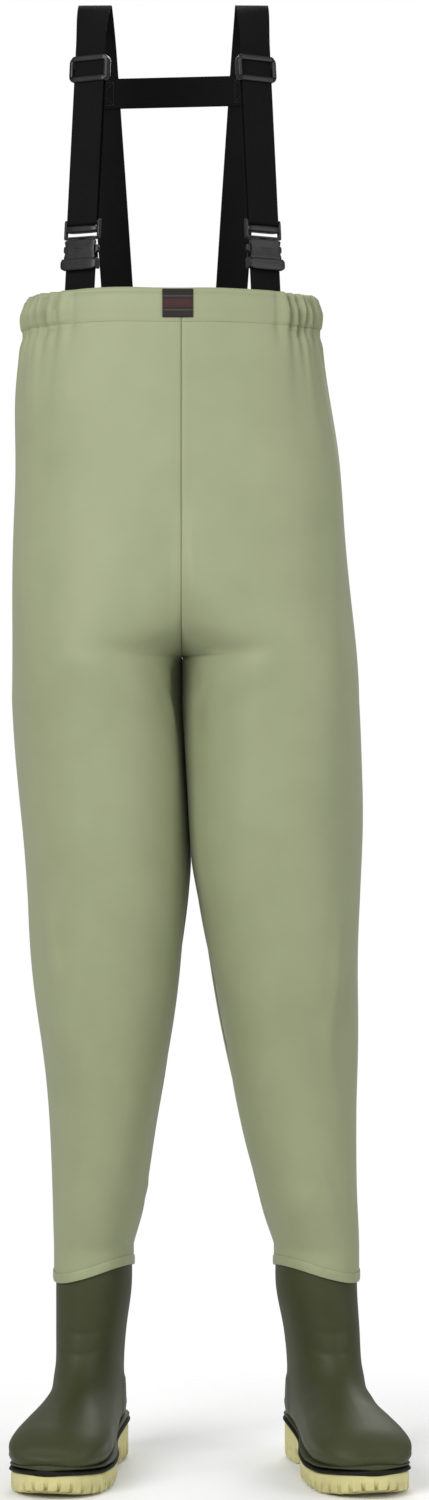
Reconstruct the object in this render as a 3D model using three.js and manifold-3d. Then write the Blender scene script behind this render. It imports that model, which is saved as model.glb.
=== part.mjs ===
// Chest waders: a coated-fabric garment in two halves, each half one side of the chest and
// its leg, welded to moulded boots and hung from webbing shoulder straps with sliders and
// side-release buckles. Millimetres, +Z up, the wearer faces -Y, and the wearer's left is +X.
import * as THREE from "three";
import Module from "manifold-3d";

const wasm = await Module();
wasm.setup();

// Garment
const rimHeight = 1341; // chest rim above the floor
const crotchHeight = 929; // where the two legs part
const crossRise = 190; // height over which the legs merge into one body above the crotch
const shaftTop = 252; // of the boots
const lapHeight = shaftTop - 30; // lower edge of the fabric, lapped over the boot shaft
const fabricWall = 2;
const fitGap = 0.3; // between pieces that lie on each other
const seamGap = 0.15; // from the centre seam to each half
const ringPoints = 28; // a multiple of four, so that front, back and sides have a point

// Chest hem
const casingHeight = 38;
const elasticHeight = 26;
const elasticWall = 1;
const facingWall = 1;
const elasticFrom = 0.8; // share of the half width where the elastic starts
const labelWidth = 34;
const labelHeight = 32;
const labelWall = 0.8;
const labelDrop = 1.5; // from the rim to the top of the label
const labelShift = -4; // from the centre seam
const tapeWall = 0.8;
const tapeWidth = 20;
const tapeLift = 60; // where the seam tapes stop above and below the crotch

// Boots
const bootWall = 4;
const lapClearance = 0.4;
const cuffHeight = shaftTop + 2; // the leg is straight below this, round the shaft
const weldHeight = 12;
const weldWall = 1.2;
const toeOut = { left: 13, right: 10.5 }; // degrees
const footReach = { left: 11, right: 6 }; // from the shaft's line outwards to the foot's
const soleHalfWidth = 55; // across the ball of the foot
const heelHalfWidth = 37;
const soleBack = 82; // heel end, behind the shaft's centre
const soleFront = -222; // toe end
const randWall = 4;
const randLip = 2.5; // how far the rand stands out of the sole
const insoleWall = 4;
const treadDepth = 4;
const treadWidth = 5;
const treadPitch = 18;

// Harness
const webWidth = 38;
const webWall = 1.5;
const harnessCentre = -46; // the straps' middle plane
const frontReach = 106; // from the middle plane to the front strap at the rim
const backReach = 66;
const crownReach = 89.5; // and at the top of the shoulder
const crownHeight = rimHeight + 336;
const crownDepth = -2;
const shoulderHeight = rimHeight + 279; // end of the straight front length
const shoulderDepth = -60;
const shoulderReach = 92;
const backTop = { reach: 85, depth: 64, height: rimHeight + 281 };
const lapLength = 60; // of the front webbing on the back strap
const anchorDepth = 48; // how far the straps run down inside the hem
const anchorWall = 2 * webWall;
const seatClearance = 0.8; // from the facing's curve to a flat strap lying on it
const crossHeight = rimHeight + 250;
const crossTilt = 4;
const untwistHeight = crossHeight - 33; // the back straps lie flat above this

// Buckle and slider, along the front strap from the rim
const socketBar = 28;
const socketFloor = 33.5;
const socketMouth = 58;
const socketHalfWidth = webWidth / 2 + 1;
const plateWall = 2;
const plateGap = 7; // inside the socket, front to back
const barRadius = 2.4;
const plugBase = 58.8;
const plugBaseHeight = 2.4;
const plugCover = 66; // lower edge of the bar in front of the webbing's loop
const plugCoverHeight = 7.8;
const plugBar = 78;
const plugBarRadius = 2;
const linkWall = 3;
const linkGap = 0.6; // webbing edge to a metal or plastic link
const armReach = webWidth / 2 - 3.5;
const armWall = 4;
const armDepth = 5.2;
const armTip = 39.5;
const armCatch = webWidth / 2 + 3.4; // outer face of the press tab
const sliderHeight = 255;
const sliderHalf = 15;
const sliderRail = 5.4;
const sliderBarRadius = 1.5;
const sliderFrontBar = 2.5;

const finish = {
  fabric: { color: 0xa3a68a, roughness: 0.55, metalness: 0 },
  facing: { color: 0x8d9076, roughness: 0.7, metalness: 0 },
  tape: { color: 0xb5b7a2, roughness: 0.4, metalness: 0 },
  elastic: { color: 0xd8d8d0, roughness: 0.9, metalness: 0 },
  label: { color: 0x17130f, roughness: 0.8, metalness: 0 },
  boot: { color: 0x4b4e37, roughness: 0.38, metalness: 0 },
  weld: { color: 0x9a9c80, roughness: 0.45, metalness: 0 },
  rand: { color: 0x1d1e17, roughness: 0.5, metalness: 0 },
  sole: { color: 0xcdc882, roughness: 0.6, metalness: 0 },
  insole: { color: 0x55554c, roughness: 0.9, metalness: 0 },
  webbing: { color: 0x141414, roughness: 0.85, metalness: 0 },
  plastic: { color: 0x101010, roughness: 0.35, metalness: 0 },
};

// ---------- Helpers: solids from rings, shapes and booleans ----------

const up = new THREE.Vector3(0, 0, 1);
const vec = (x, y, z) => new THREE.Vector3(x, y, z);

// A solid from positions and triangles, turned the right way out.
function solidFrom(points, faces) {
  const vertProperties = new Float32Array(points.flatMap((p) => [p.x, p.y, p.z]));
  const build = (triVerts) => new wasm.Manifold(new wasm.Mesh({ numProp: 3, vertProperties, triVerts }));
  const made = build(new Uint32Array(faces));
  return made.volume() > 0 ? made : build(new Uint32Array([...faces].reverse()));
}

// A closed solid through a row of rings with the same number of points each.
function loft(rings) {
  const count = rings[0].length;
  const points = rings.flat();
  const faces = [];
  for (let r = 0; r + 1 < rings.length; r++) {
    for (let i = 0; i < count; i++) {
      const a = r * count + i;
      const b = r * count + ((i + 1) % count);
      faces.push(a, b, b + count, a, b + count, a + count);
    }
  }
  const cap = (start, flip) => {
    const centre = vec(0, 0, 0);
    for (let i = 0; i < count; i++) centre.addScaledVector(points[start + i], 1 / count);
    points.push(centre);
    for (let i = 0; i < count; i++) {
      const pair = [start + i, start + ((i + 1) % count)];
      faces.push(points.length - 1, ...(flip ? pair.reverse() : pair));
    }
  };
  cap(0, true);
  cap((rings.length - 1) * count, false);
  return solidFrom(points, faces);
}

// A THREE geometry as a solid, after its matrix.
function solidOf(geometry, matrix = new THREE.Matrix4()) {
  const g = (geometry.index ? geometry.toNonIndexed() : geometry).clone().applyMatrix4(matrix);
  const seen = new Map();
  const points = [];
  const faces = [];
  const position = g.getAttribute("position");
  for (let i = 0; i < position.count; i++) {
    const p = vec(0, 0, 0).fromBufferAttribute(position, i);
    const key = [p.x, p.y, p.z].map((c) => Math.round(c * 1e4)).join();
    if (!seen.has(key)) seen.set(key, points.push(p) - 1);
    faces.push(seen.get(key));
  }
  const kept = [];
  for (let i = 0; i < faces.length; i += 3) {
    const [a, b, c] = faces.slice(i, i + 3);
    if (a !== b && b !== c && c !== a) kept.push(a, b, c);
  }
  return solidFrom(points, kept);
}

// A box between two corners.
function block(low, high) {
  const size = high.map((h, i) => h - low[i]);
  const centre = high.map((h, i) => (h + low[i]) / 2);
  return solidOf(new THREE.BoxGeometry(...size), new THREE.Matrix4().makeTranslation(...centre));
}

// An outline in Y and Z, extruded along X between two places.
function alongX(shape, from, to, curveSegments = 8) {
  const g = new THREE.ExtrudeGeometry(shape, { depth: to - from, bevelEnabled: false, curveSegments });
  const turn = new THREE.Matrix4().makeBasis(vec(0, 1, 0), vec(0, 0, 1), vec(1, 0, 0));
  return solidOf(g, new THREE.Matrix4().makeTranslation(from, 0, 0).multiply(turn));
}

const outline = (points) => new THREE.Shape(points.map(([y, z]) => new THREE.Vector2(y, z)));

// A round bar along X.
function bar(radius, halfLength, y, z) {
  const g = new THREE.CylinderGeometry(radius, radius, 2 * halfLength, 12);
  const turn = new THREE.Matrix4().makeRotationZ(Math.PI / 2);
  return solidOf(g, new THREE.Matrix4().makeTranslation(0, y, z).multiply(turn));
}

// A flat band swept through stations of a point and the direction of its width.
function band(stations, width, wall) {
  return loft(
    stations.map(({ at, across }, i) => {
      const before = stations[Math.max(i - 1, 0)].at;
      const after = stations[Math.min(i + 1, stations.length - 1)].at;
      const along = after.clone().sub(before).normalize();
      const side = across.clone().addScaledVector(along, -across.dot(along)).normalize();
      const face = along.clone().cross(side).normalize();
      return [
        [-1, -1],
        [1, -1],
        [1, 1],
        [-1, 1],
      ].map(([u, v]) =>
        at
          .clone()
          .addScaledVector(side, (u * width) / 2)
          .addScaledVector(face, (v * wall) / 2),
      );
    }),
  );
}

const joined = (solids) => solids.reduce((a, b) => a.add(b));

function mesh(name, solid, look) {
  const made = solid.getMesh();
  const geometry = new THREE.BufferGeometry();
  const step = made.numProp;
  const position = new Float32Array((made.vertProperties.length / step) * 3);
  for (let i = 0; i < position.length / 3; i++) {
    position.set(made.vertProperties.subarray(i * step, i * step + 3), i * 3);
  }
  geometry.setAttribute("position", new THREE.BufferAttribute(position, 3));
  geometry.setIndex(new THREE.BufferAttribute(made.triVerts, 1));
  geometry.computeVertexNormals();
  const made3d = new THREE.Mesh(geometry, new THREE.MeshStandardMaterial(finish[look]));
  made3d.name = name;
  return made3d;
}

// A smooth value at x through sorted [x, value] stations.
function through(stations, x) {
  const last = stations.length - 1;
  if (x <= stations[0][0]) return stations[0][1];
  if (x >= stations[last][0]) return stations[last][1];
  const i = stations.findIndex((s) => s[0] > x) - 1;
  const slope = (j) => {
    const a = stations[Math.max(j - 1, 0)];
    const b = stations[Math.min(j + 1, last)];
    return (b[1] - a[1]) / (b[0] - a[0]);
  };
  const [x0, v0] = stations[i];
  const [x1, v1] = stations[i + 1];
  const h = x1 - x0;
  const t = (x - x0) / h;
  return (
    v0 * (1 + 2 * t) * (1 - t) ** 2 +
    v1 * t * t * (3 - 2 * t) +
    h * (slope(i) * t * (1 - t) ** 2 - slope(i + 1) * t * t * (1 - t))
  );
}

// A signed power, for superellipses.
const signedPower = (v, n) => Math.sign(v) * Math.abs(v) ** n;

// ---------- Garment ----------

// The tables of the figure are written for these heights of the floor, cuff, crotch and rim, and
// stretch with the real ones.
const tableMarks = [0, 254, 929, 1341];
const realMarks = [0, cuffHeight, crotchHeight, rimHeight];
function carried(z, from, to) {
  const i = THREE.MathUtils.clamp(from.findIndex((f) => f > z), 1, 3);
  const high = z >= from[3] ? 3 : i;
  return to[high] + ((z - from[high]) * (to[high] - to[high - 1])) / (from[high] - from[high - 1]);
}
const tableHeight = (z) => carried(z, realMarks, tableMarks);
const realHeight = (z) => carried(z, tableMarks, realMarks);
const lookUp = (stations, z) => through(stations, tableHeight(z));

// Height, half width of the whole silhouette, half depth, centre in Y.
const figure = [
  [254, 174, 65, 6],
  [306, 174.5, 80, 6],
  [421, 176, 97, 4],
  [536, 185, 110, 3],
  [651, 191, 121, 3],
  [766, 198, 131, 4],
  [880, 199, 139, 6],
  [996, 196, 138, 5],
  [1111, 189, 129, 3],
  [1226, 180, 122, 1],
  [1341, 163, 116, 0],
];
const column = (n) => figure.map((row) => [row[0], row[n]]);
const halfWidthAt = (z) => lookUp(column(1), z);
const halfDepthAt = (z) => lookUp(column(2), z);
const centreYAt = (z) => lookUp(column(3), z);

// How far the inner edge of a leg lies from the middle line.
const legGap = [
  [254, 82],
  [306, 66],
  [421, 43.5],
  [536, 24],
  [651, 6],
  [700, 1],
  [929, 0.8],
];

// The whole figure's sway to the wearer's left.
const sway = [
  [254, 3],
  [651, 2],
  [880, 5],
  [1000, 0],
  [1111, -5],
  [1226, -12],
  [1341, -12],
];

// The middle line between the halves, straight between its corners.
const middle = [
  [0, -6],
  [220, -10],
  [651, -23],
  [880, -36],
  [1441, -36],
].map(([z, x]) => [realHeight(z), x]);
function middleAt(z) {
  const i = Math.max(middle.findIndex((m) => m[0] > z), 1);
  const [z0, x0] = middle[i - 1];
  const [z1, x1] = middle[i];
  return x0 + ((x1 - x0) * (z - z0)) / (z1 - z0);
}

const calfHeight = realHeight(421); // the legs turn out from here down

// One half's section: outer edge, inner edge, and how round it is.
function halfSection(side, z) {
  const outer = halfWidthAt(z) + side * lookUp(sway, z);
  const rise = THREE.MathUtils.clamp((z - crotchHeight) / crossRise, 0, 1);
  const inner = lookUp(legGap, z) - Math.sin((rise * Math.PI) / 2) * (outer + 0.8);
  const roundness = 2.1 + 0.3 * rise;
  const turn = THREE.MathUtils.clamp((calfHeight - z) / (calfHeight - cuffHeight), 0, 1);
  const yaw = side * THREE.MathUtils.degToRad(side > 0 ? toeOut.left : toeOut.right) * turn;
  return { half: (outer - inner) / 2, centre: (outer + inner) / 2, roundness, yaw };
}

const legHeights = [254, 306, 362, 421, 478, 536, 594, 651, 700, 766, 823, 880, 915];
const seatHeights = [929, 938, 950, 966, 988, 1015, 1055, 1111];
const chestHeights = [1168, 1226, 1284, 1341];
const halfHeights = [...legHeights, ...seatHeights, ...chestHeights].map(realHeight);

// A ring between the two nearest heights of the loft, so that every layer has the same facets.
function ringBetween(z, ringOf) {
  const last = halfHeights.length - 1;
  const i = THREE.MathUtils.clamp(halfHeights.findIndex((h) => h > z), 1, last);
  const [low, high] = [halfHeights[i - 1], halfHeights[i]];
  const share = THREE.MathUtils.clamp((z - low) / (high - low), 0, 1);
  if (z >= halfHeights[last]) return ringOf(halfHeights[last]).map((p) => p.setZ(z));
  const above = ringOf(high);
  return ringOf(low).map((p, j) => p.lerp(above[j], share).setZ(z));
}

// A closed ring at one height of one half, moved outwards by an offset.
function halfRing(side, height, offset) {
  return ringBetween(height, (z) => {
    const { half, centre, roundness, yaw } = halfSection(side, z);
    const depth = halfDepthAt(z);
    return Array.from({ length: ringPoints }, (_, i) => {
      const angle = (2 * Math.PI * i) / ringPoints;
      const x = (half + offset) * signedPower(Math.cos(angle), 2 / roundness);
      const y = (depth + offset) * signedPower(Math.sin(angle), 2 / roundness);
      const turned = vec(side * x, y, 0).applyAxisAngle(up, yaw);
      return turned.add(vec(middleAt(z) + side * centre, centreYAt(z), z));
    });
  });
}

function halfLoft(side, offset, low = lapHeight, high = rimHeight) {
  const inside = halfHeights.filter((z) => z > low && z < high);
  return loft([low, ...inside, high].map((z) => halfRing(side, z, offset)));
}

// Everything on one side of the middle line, kept a distance from it.
function sideOf(side, distance) {
  const far = side * 600;
  const line = middle.map(([z, x]) => [x + side * distance, z]);
  const top = middle[middle.length - 1][0];
  const shape = outline([...line, [far, top], [far, 0]]);
  const g = new THREE.ExtrudeGeometry(shape, { depth: 800, bevelEnabled: false });
  const turn = new THREE.Matrix4().makeRotationX(Math.PI / 2);
  return solidOf(g, new THREE.Matrix4().makeTranslation(0, 400, 0).multiply(turn));
}

function shell(side) {
  const inner = halfLoft(side, -fabricWall, lapHeight - 5, rimHeight + 5);
  return halfLoft(side, 0).subtract(inner).intersect(sideOf(side, seamGap));
}

// The whole chest's ring at one height: both halves share its front and back.
function chestRing(height, offset) {
  return ringBetween(height, (z) =>
    Array.from({ length: ringPoints }, (_, i) => {
      const angle = (2 * Math.PI * i) / ringPoints;
      const { half, roundness } = halfSection(Math.cos(angle) < 0 ? -1 : 1, z);
      const x = (half + offset) * signedPower(Math.cos(angle), 2 / roundness);
      const y = (halfDepthAt(z) + offset) * signedPower(Math.sin(angle), 2 / roundness);
      return vec(middleAt(z) + x, centreYAt(z) + y, z);
    }),
  );
}

// A belt round the chest between two heights and two offsets.
function chestBelt(low, high, outerOffset, wall) {
  const heights = [low, high];
  const past = [low - 5, high + 5];
  const belt = loft(heights.map((z) => chestRing(z, outerOffset)));
  return belt.subtract(loft(past.map((z) => chestRing(z, outerOffset - wall))));
}

const elasticOffset = -(fabricWall + fitGap);
const facingOffset = elasticOffset - elasticWall - fitGap;
const facingInner = facingOffset - facingWall;

function chestElastic(side) {
  const middleOfCasing = rimHeight - casingHeight / 2;
  const belt = chestBelt(
    middleOfCasing - elasticHeight / 2,
    middleOfCasing + elasticHeight / 2,
    elasticOffset,
    elasticWall,
  );
  const start = middleAt(rimHeight) + side * elasticFrom * halfSection(side, rimHeight).half;
  const corners = [start, start + side * 300].sort((a, b) => a - b);
  return belt.intersect(block([corners[0], -300, rimHeight - 100], [corners[1], 300, rimHeight]));
}

function chestLabel() {
  const top = rimHeight - labelDrop;
  const patch = chestBelt(top - labelHeight, top, fitGap + labelWall, labelWall);
  const x = middleAt(rimHeight) + labelShift;
  const [left, right] = [x - labelWidth / 2, x + labelWidth / 2];
  return patch.intersect(block([left, -300, top - 100], [right, 0, rimHeight]));
}

// Tape welded over the centre seam inside, at the front (-1) or the back (1).
function riseTape(face) {
  const low = crotchHeight + tapeLift;
  const high = rimHeight - casingHeight - 2;
  const reach = tapeWidth / 2;
  const x = middleAt(high);
  const piece = (side) => {
    const outer = halfLoft(side, -(fabricWall + fitGap), low, high);
    const inner = halfLoft(side, -(fabricWall + fitGap + tapeWall), low - 5, high + 5);
    const edges = [x - side * 0.5, x + side * reach].sort((a, b) => a - b);
    const ends = [0, face * 300].sort((a, b) => a - b);
    const strip = block([edges[0], ends[0], low - 10], [edges[1], ends[1], high + 10]);
    return outer.subtract(inner).intersect(strip);
  };
  return piece(1).add(piece(-1));
}

// Tape over the seam on the inside of a leg.
function legTape(side) {
  const low = shaftTop + 5;
  const high = crotchHeight - tapeLift;
  const outer = halfLoft(side, -(fabricWall + fitGap), low, high);
  const inner = halfLoft(side, -(fabricWall + fitGap + tapeWall), low - 5, high + 5);
  const heights = halfHeights.filter((z) => z > low - 50 && z < high + 50);
  const strip = loft(
    heights.map((z) => {
      const { centre } = halfSection(side, z);
      const xs = [middleAt(z) - side * 5, middleAt(z) + side * centre];
      const ys = [centreYAt(z) - tapeWidth / 2, centreYAt(z) + tapeWidth / 2];
      return [vec(xs[0], ys[0], z), vec(xs[1], ys[0], z), vec(xs[1], ys[1], z), vec(xs[0], ys[1], z)];
    }),
  );
  return outer.subtract(inner).intersect(strip);
}

// The welded edge over the lap of the fabric on the boot.
function weldBand(side) {
  const low = lapHeight - weldHeight / 2;
  const high = lapHeight + weldHeight / 2;
  const outer = loft([low, high].map((z) => halfRing(side, z, fitGap + weldWall)));
  return outer.subtract(loft([low - 1, high + 1].map((z) => halfRing(side, z, fitGap))));
}

// ---------- Boots, each in its own frame: shaft on Z, toe towards -Y ----------

// Top of the outsole from heel to toe.
const soleTop = [
  [soleBack + 4, 47],
  [30, 43],
  [-15, 33],
  [-70, 25],
  [-120, 23],
  [-165, 24],
  [-198, 27],
  [-212, 28.5],
  [soleFront - 4, 30],
];
const bootLift = randWall + 2 * fitGap + 0.1; // rand and its two gaps, on top of the outsole
function soleTopAt(y) {
  const i = Math.max(soleTop.findIndex((s) => s[0] <= y), 1);
  const [y0, z0] = soleTop[i - 1];
  const [y1, z1] = soleTop[i];
  return z0 + ((z1 - z0) * (y - y0)) / (y1 - y0);
}
const onSole = (y) => [y, soleTopAt(y) + bootLift];

const reachOf = (side) => (side > 0 ? footReach.left : footReach.right);

// Rings that fan round the instep: point on the instep line, point on the heel and sole line,
// half width, how square the section is where it meets the sole, and its middle across the foot.
function bootRows(side) {
  const half = halfSection(side, cuffHeight).half - fabricWall - lapClearance;
  const depth = halfDepthAt(cuffHeight) - fabricWall - lapClearance;
  const inward = -reachOf(side);
  const rows = [
    [[-depth, shaftTop], [depth, shaftTop], half, 2.1, inward],
    [[-depth, 205], [depth, 205], half, 2.1, inward],
    [[-depth + 1, 160], [depth + 2, 150], half - 3.5, 2.1, inward * 0.4],
    [[-depth - 4, 131], [depth + 9, 104], half - 5.5, 2.2, inward * 0.1],
    [[-depth - 14, 118], [depth + 13, 76], half - 5, 2.6],
    [[-depth - 24, 111], onSole(66), half - 5, 3.4],
    [[-depth - 36, 105], onSole(30), half - 4, 4],
    [[-115, 99], onSole(-15), 43, 4],
    [[-140, 92], onSole(-70), 50, 4],
    [[-165, 85], onSole(-120), 54, 4],
    [[-190, 76], onSole(-165), 52, 3.6],
    [[-206, 64], onSole(-198), 41, 3],
    [[-215, 49], onSole(-212), 22, 2.4],
  ];
  return rows.map((row) => (row.length < 5 ? [...row, 0] : row));
}

// One ring of the boot, drawn in by a wall.
function bootRing([instep, sole, halfWidth, square, across], wall) {
  const centre = vec(across, (instep[0] + sole[0]) / 2, (instep[1] + sole[1]) / 2);
  const reach = vec(0, (sole[0] - instep[0]) / 2, (sole[1] - instep[1]) / 2);
  const length = reach.length();
  reach.multiplyScalar((length - wall) / length);
  return Array.from({ length: ringPoints }, (_, i) => {
    const angle = (2 * Math.PI * i) / ringPoints;
    const n = Math.cos(angle) > 0 ? square : 2.1;
    const x = (halfWidth - wall) * signedPower(Math.sin(angle), 2 / n);
    return centre.clone().addScaledVector(reach, signedPower(Math.cos(angle), 2 / n)).add(vec(x, 0, 0));
  });
}

function bootUpper(side) {
  const rows = bootRows(side);
  const tip = [[-218, 43], [-217.4, 38], 4, 2, 0];
  const outer = loft([...rows, tip].map((row) => bootRing(row, 0)));
  return outer.subtract(bootCavity(side, bootWall));
}

// The space inside the boot, drawn in by a wall, open above the shaft.
function bootCavity(side, wall) {
  const rows = bootRows(side).slice(0, -2);
  const above = structuredClone(rows[0]);
  above[0][1] += 10;
  above[1][1] += 10;
  return loft([above, ...rows].map((row) => bootRing(row, wall)));
}

// A strip between two heights above the sole line, from side to side.
function soleStrip(from, to, lift, wall) {
  const inside = soleTop.map((s) => s[0]).filter((y) => y < from && y > to);
  const line = [from, ...inside, to].map((y) => [y, soleTopAt(y) + lift]);
  const raised = line.map(([y, z]) => [y, z + wall]).reverse();
  return alongX(outline([...line, ...raised]), -100, 100);
}

function insole(side) {
  const floor = bootLift + bootWall + fitGap;
  return bootCavity(side, bootWall + fitGap).intersect(soleStrip(58, -160, floor + 0.8, insoleWall));
}

// The sole's plan: round heel, waist, ball and toe, grown by a lip.
function solePlan(lip) {
  const across = [
    [soleBack, 0],
    [soleBack - 6, 20],
    [soleBack - 22, 33],
    [38, heelHalfWidth],
    [-20, 36.5],
    [-75, 49],
    [-130, soleHalfWidth],
    [-175, 50],
    [-205, 33],
    [soleFront + 3, 15],
    [soleFront, 0],
  ];
  const rim = across.map(([y, x]) => {
    const pull = Math.sign(y + 70) * (1 - x / soleHalfWidth) * lip;
    return new THREE.Vector2(x === 0 ? 0 : x + lip, y + pull);
  });
  const back = rim.slice(1, -1).map((p) => new THREE.Vector2(-p.x, p.y));
  return new THREE.Shape([...rim, ...back.reverse()]);
}

function solePrism(lip) {
  return solidOf(new THREE.ExtrudeGeometry(solePlan(lip), { depth: 100, bevelEnabled: false }));
}

// The outsole from the side: heel block, raised arch, flat forefoot and toe spring.
function outsole() {
  const top = soleTop.map(([y, z]) => [y, z]);
  const under = [
    [soleFront - 4, 13],
    [-198, 4],
    [-168, 0],
    [-62, 0],
    [-46, 9],
    [2, 19],
    [6, 0],
    [soleBack + 4, 0],
  ];
  const body = alongX(outline([...top, ...under]), -100, 100).intersect(solePrism(0));
  const grooves = [];
  for (let y = -76; y > -165; y -= treadPitch) grooves.push(y);
  for (let y = 24; y < soleBack - 18; y += treadPitch) grooves.push(y);
  return grooves.reduce(
    (solid, y) => solid.subtract(block([-100, y - treadWidth / 2, -1], [100, y + treadWidth / 2, treadDepth])),
    body,
  );
}

function rand() {
  return soleStrip(soleBack + 4, soleFront - 4, fitGap, randWall).intersect(solePrism(randLip));
}

// ---------- Harness ----------

// Where a strap lies against the facing inside the rim: the chord of its width on the curve.
function strapSeat(side, face, reach, z) {
  const x = harnessCentre + side * reach;
  const edge = (at) => {
    const { half, roundness } = halfSection(at > middleAt(z) ? 1 : -1, z);
    const share = Math.abs(at - middleAt(z)) / (half + facingInner);
    const depth = (halfDepthAt(z) + facingInner) * (1 - share ** roundness) ** (1 / roundness);
    return vec(at, centreYAt(z) + face * depth, z);
  };
  let across = vec(1, 0, 0);
  for (let i = 0; i < 4; i++) {
    const half = (across.x * webWidth) / 2;
    across = edge(x + half).sub(edge(x - half)).normalize();
  }
  const half = (across.x * webWidth) / 2;
  const inwards = vec(0, -face, 0).addScaledVector(across, face * across.y).normalize();
  const at = edge(x + half).add(edge(x - half)).multiplyScalar(0.5);
  return { at, across, inwards };
}

// The front strap's frame: X across it, -Y outwards, Z along it, with its origin at the rim.
function frontFrame(side) {
  const seat = strapSeat(side, -1, frontReach, rimHeight);
  const origin = seat.at.addScaledVector(seat.inwards, anchorWall / 2 + seatClearance);
  const shoulder = vec(harnessCentre + side * shoulderReach, shoulderDepth, shoulderHeight);
  const z = shoulder.clone().sub(origin).normalize();
  const y = z.clone().cross(seat.across).normalize();
  const x = y.clone().cross(z);
  const matrix = new THREE.Matrix4().makeBasis(x, y, z).setPosition(origin);
  return { matrix, origin, x, y, z, length: shoulder.distanceTo(origin) };
}

const place = (frame, x, y, z) => vec(x, y, z).applyMatrix4(frame.matrix);
const webFace = plugBarRadius + fitGap + webWall / 2; // webbing's middle from the plug bar's axis

// Stations of webbing that turns round a bar from its back to its front: under (-1) or over (1).
function halfLoop(radius, y, z, way, steps = 7) {
  const reach = radius + fitGap + webWall / 2;
  return Array.from({ length: steps }, (_, i) => {
    const angle = (way * Math.PI * i) / (steps - 1);
    return { at: vec(0, y + reach * Math.cos(angle), z + reach * Math.sin(angle)), across: vec(1, 0, 0) };
  });
}

function backLine(side) {
  const seat = strapSeat(side, 1, backReach, rimHeight);
  const start = seat.at.addScaledVector(seat.inwards, webWall / 2 + seatClearance);
  const end = vec(harnessCentre + side * backTop.reach, backTop.depth, backTop.height);
  const along = end.clone().sub(start).normalize();
  const outwards = along.clone().cross(vec(1, 0, 0)).normalize();
  return { start, end, along, outwards, across: seat.across };
}

// From the plug's bar up the front, over the shoulder and down on to the back strap.
function frontWebbing(side) {
  const frame = frontFrame(side);
  const back = backLine(side);
  const front = place(frame, 0, -webFace, frame.length);
  const crown = vec(harnessCentre + side * crownReach, crownDepth, crownHeight);
  const lap = back.end.clone().addScaledVector(back.outwards, webWall + fitGap);
  const lapEnd = lap.clone().addScaledVector(back.along, -lapLength);
  const rise = 34;
  const rising = new THREE.CubicBezierCurve3(
    front,
    front.clone().addScaledVector(frame.z, rise),
    crown.clone().add(vec(0, -rise, 0)),
    crown,
  );
  const falling = new THREE.CubicBezierCurve3(
    crown,
    crown.clone().add(vec(0, rise, 0)),
    lap.clone().addScaledVector(back.along, rise),
    lap,
  );
  const steps = 7;
  const loop = halfLoop(plugBarRadius, 0, plugBar, -1);
  const stations = loop.map(({ at }) => ({ at: at.applyMatrix4(frame.matrix), across: frame.x }));
  rising.getPoints(steps).forEach((at, i) => {
    stations.push({ at, across: frame.x.clone().lerp(vec(1, 0, 0), i / steps) });
  });
  falling.getPoints(steps).slice(1).forEach((at) => {
    stations.push({ at, across: vec(1, 0, 0) });
  });
  stations.push({ at: lapEnd, across: vec(1, 0, 0) });
  return band(stations, webWidth, webWall);
}

const sliderBarY = -webFace + webWall / 2 + fitGap + webWall + fitGap + sliderBarRadius;

// The doubled-back end: from the plug's bar up behind the front webbing to the slider's bar.
function returnWebbing() {
  const foot = { at: vec(0, webFace, plugBar + fitGap), across: vec(1, 0, 0) };
  const top = halfLoop(sliderBarRadius, sliderBarY, sliderHeight, 1);
  return band([foot, ...top], webWidth, webWall);
}

function slider() {
  const inside = webWidth / 2 + linkGap;
  const outside = inside + sliderRail;
  const faceY = -webFace - webWall / 2 - fitGap;
  const front = faceY - sliderFrontBar;
  const backY = sliderBarY + sliderBarRadius + 0.6;
  const barTall = 6;
  const parts = [-1, 1].map((s) => {
    const xs = [s * inside, s * outside].sort((a, b) => a - b);
    return block([xs[0], front, sliderHeight - sliderHalf + 2], [xs[1], backY, sliderHeight + sliderHalf - 2]);
  });
  [-1, 1].forEach((s) => {
    const zs = [sliderHeight + s * sliderHalf, sliderHeight + s * (sliderHalf - barTall)].sort((a, b) => a - b);
    parts.push(block([-outside + 2, front, zs[0]], [outside - 2, faceY, zs[1]]));
  });
  parts.push(bar(sliderBarRadius, inside + 1, sliderBarY, sliderHeight));
  return joined(parts);
}

function buckleSocket() {
  const depth = plateGap / 2;
  const x = socketHalfWidth;
  const inside = webWidth / 2 + linkGap;
  const lipFace = depth + plateWall;
  const parts = [
    block([-x, -lipFace, socketFloor], [x, -depth, socketMouth]),
    block([-x, depth, socketFloor], [x, lipFace, socketMouth - 4]),
    block([-x, -lipFace, socketFloor], [x, lipFace, socketFloor + 2.5]),
    block([-inside - linkWall, -lipFace - 3, socketBar - 6], [inside + linkWall, -lipFace + 0.4, socketFloor + 2]),
    bar(barRadius, inside + linkWall / 2, 0, socketBar),
  ];
  [-1, 1].forEach((s) => {
    const xs = [s * inside, s * (inside + linkWall)].sort((a, b) => a - b);
    parts.push(block([xs[0], -lipFace, socketBar - 4], [xs[1], depth, socketFloor + 2.5]));
  });
  return joined(parts);
}

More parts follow.
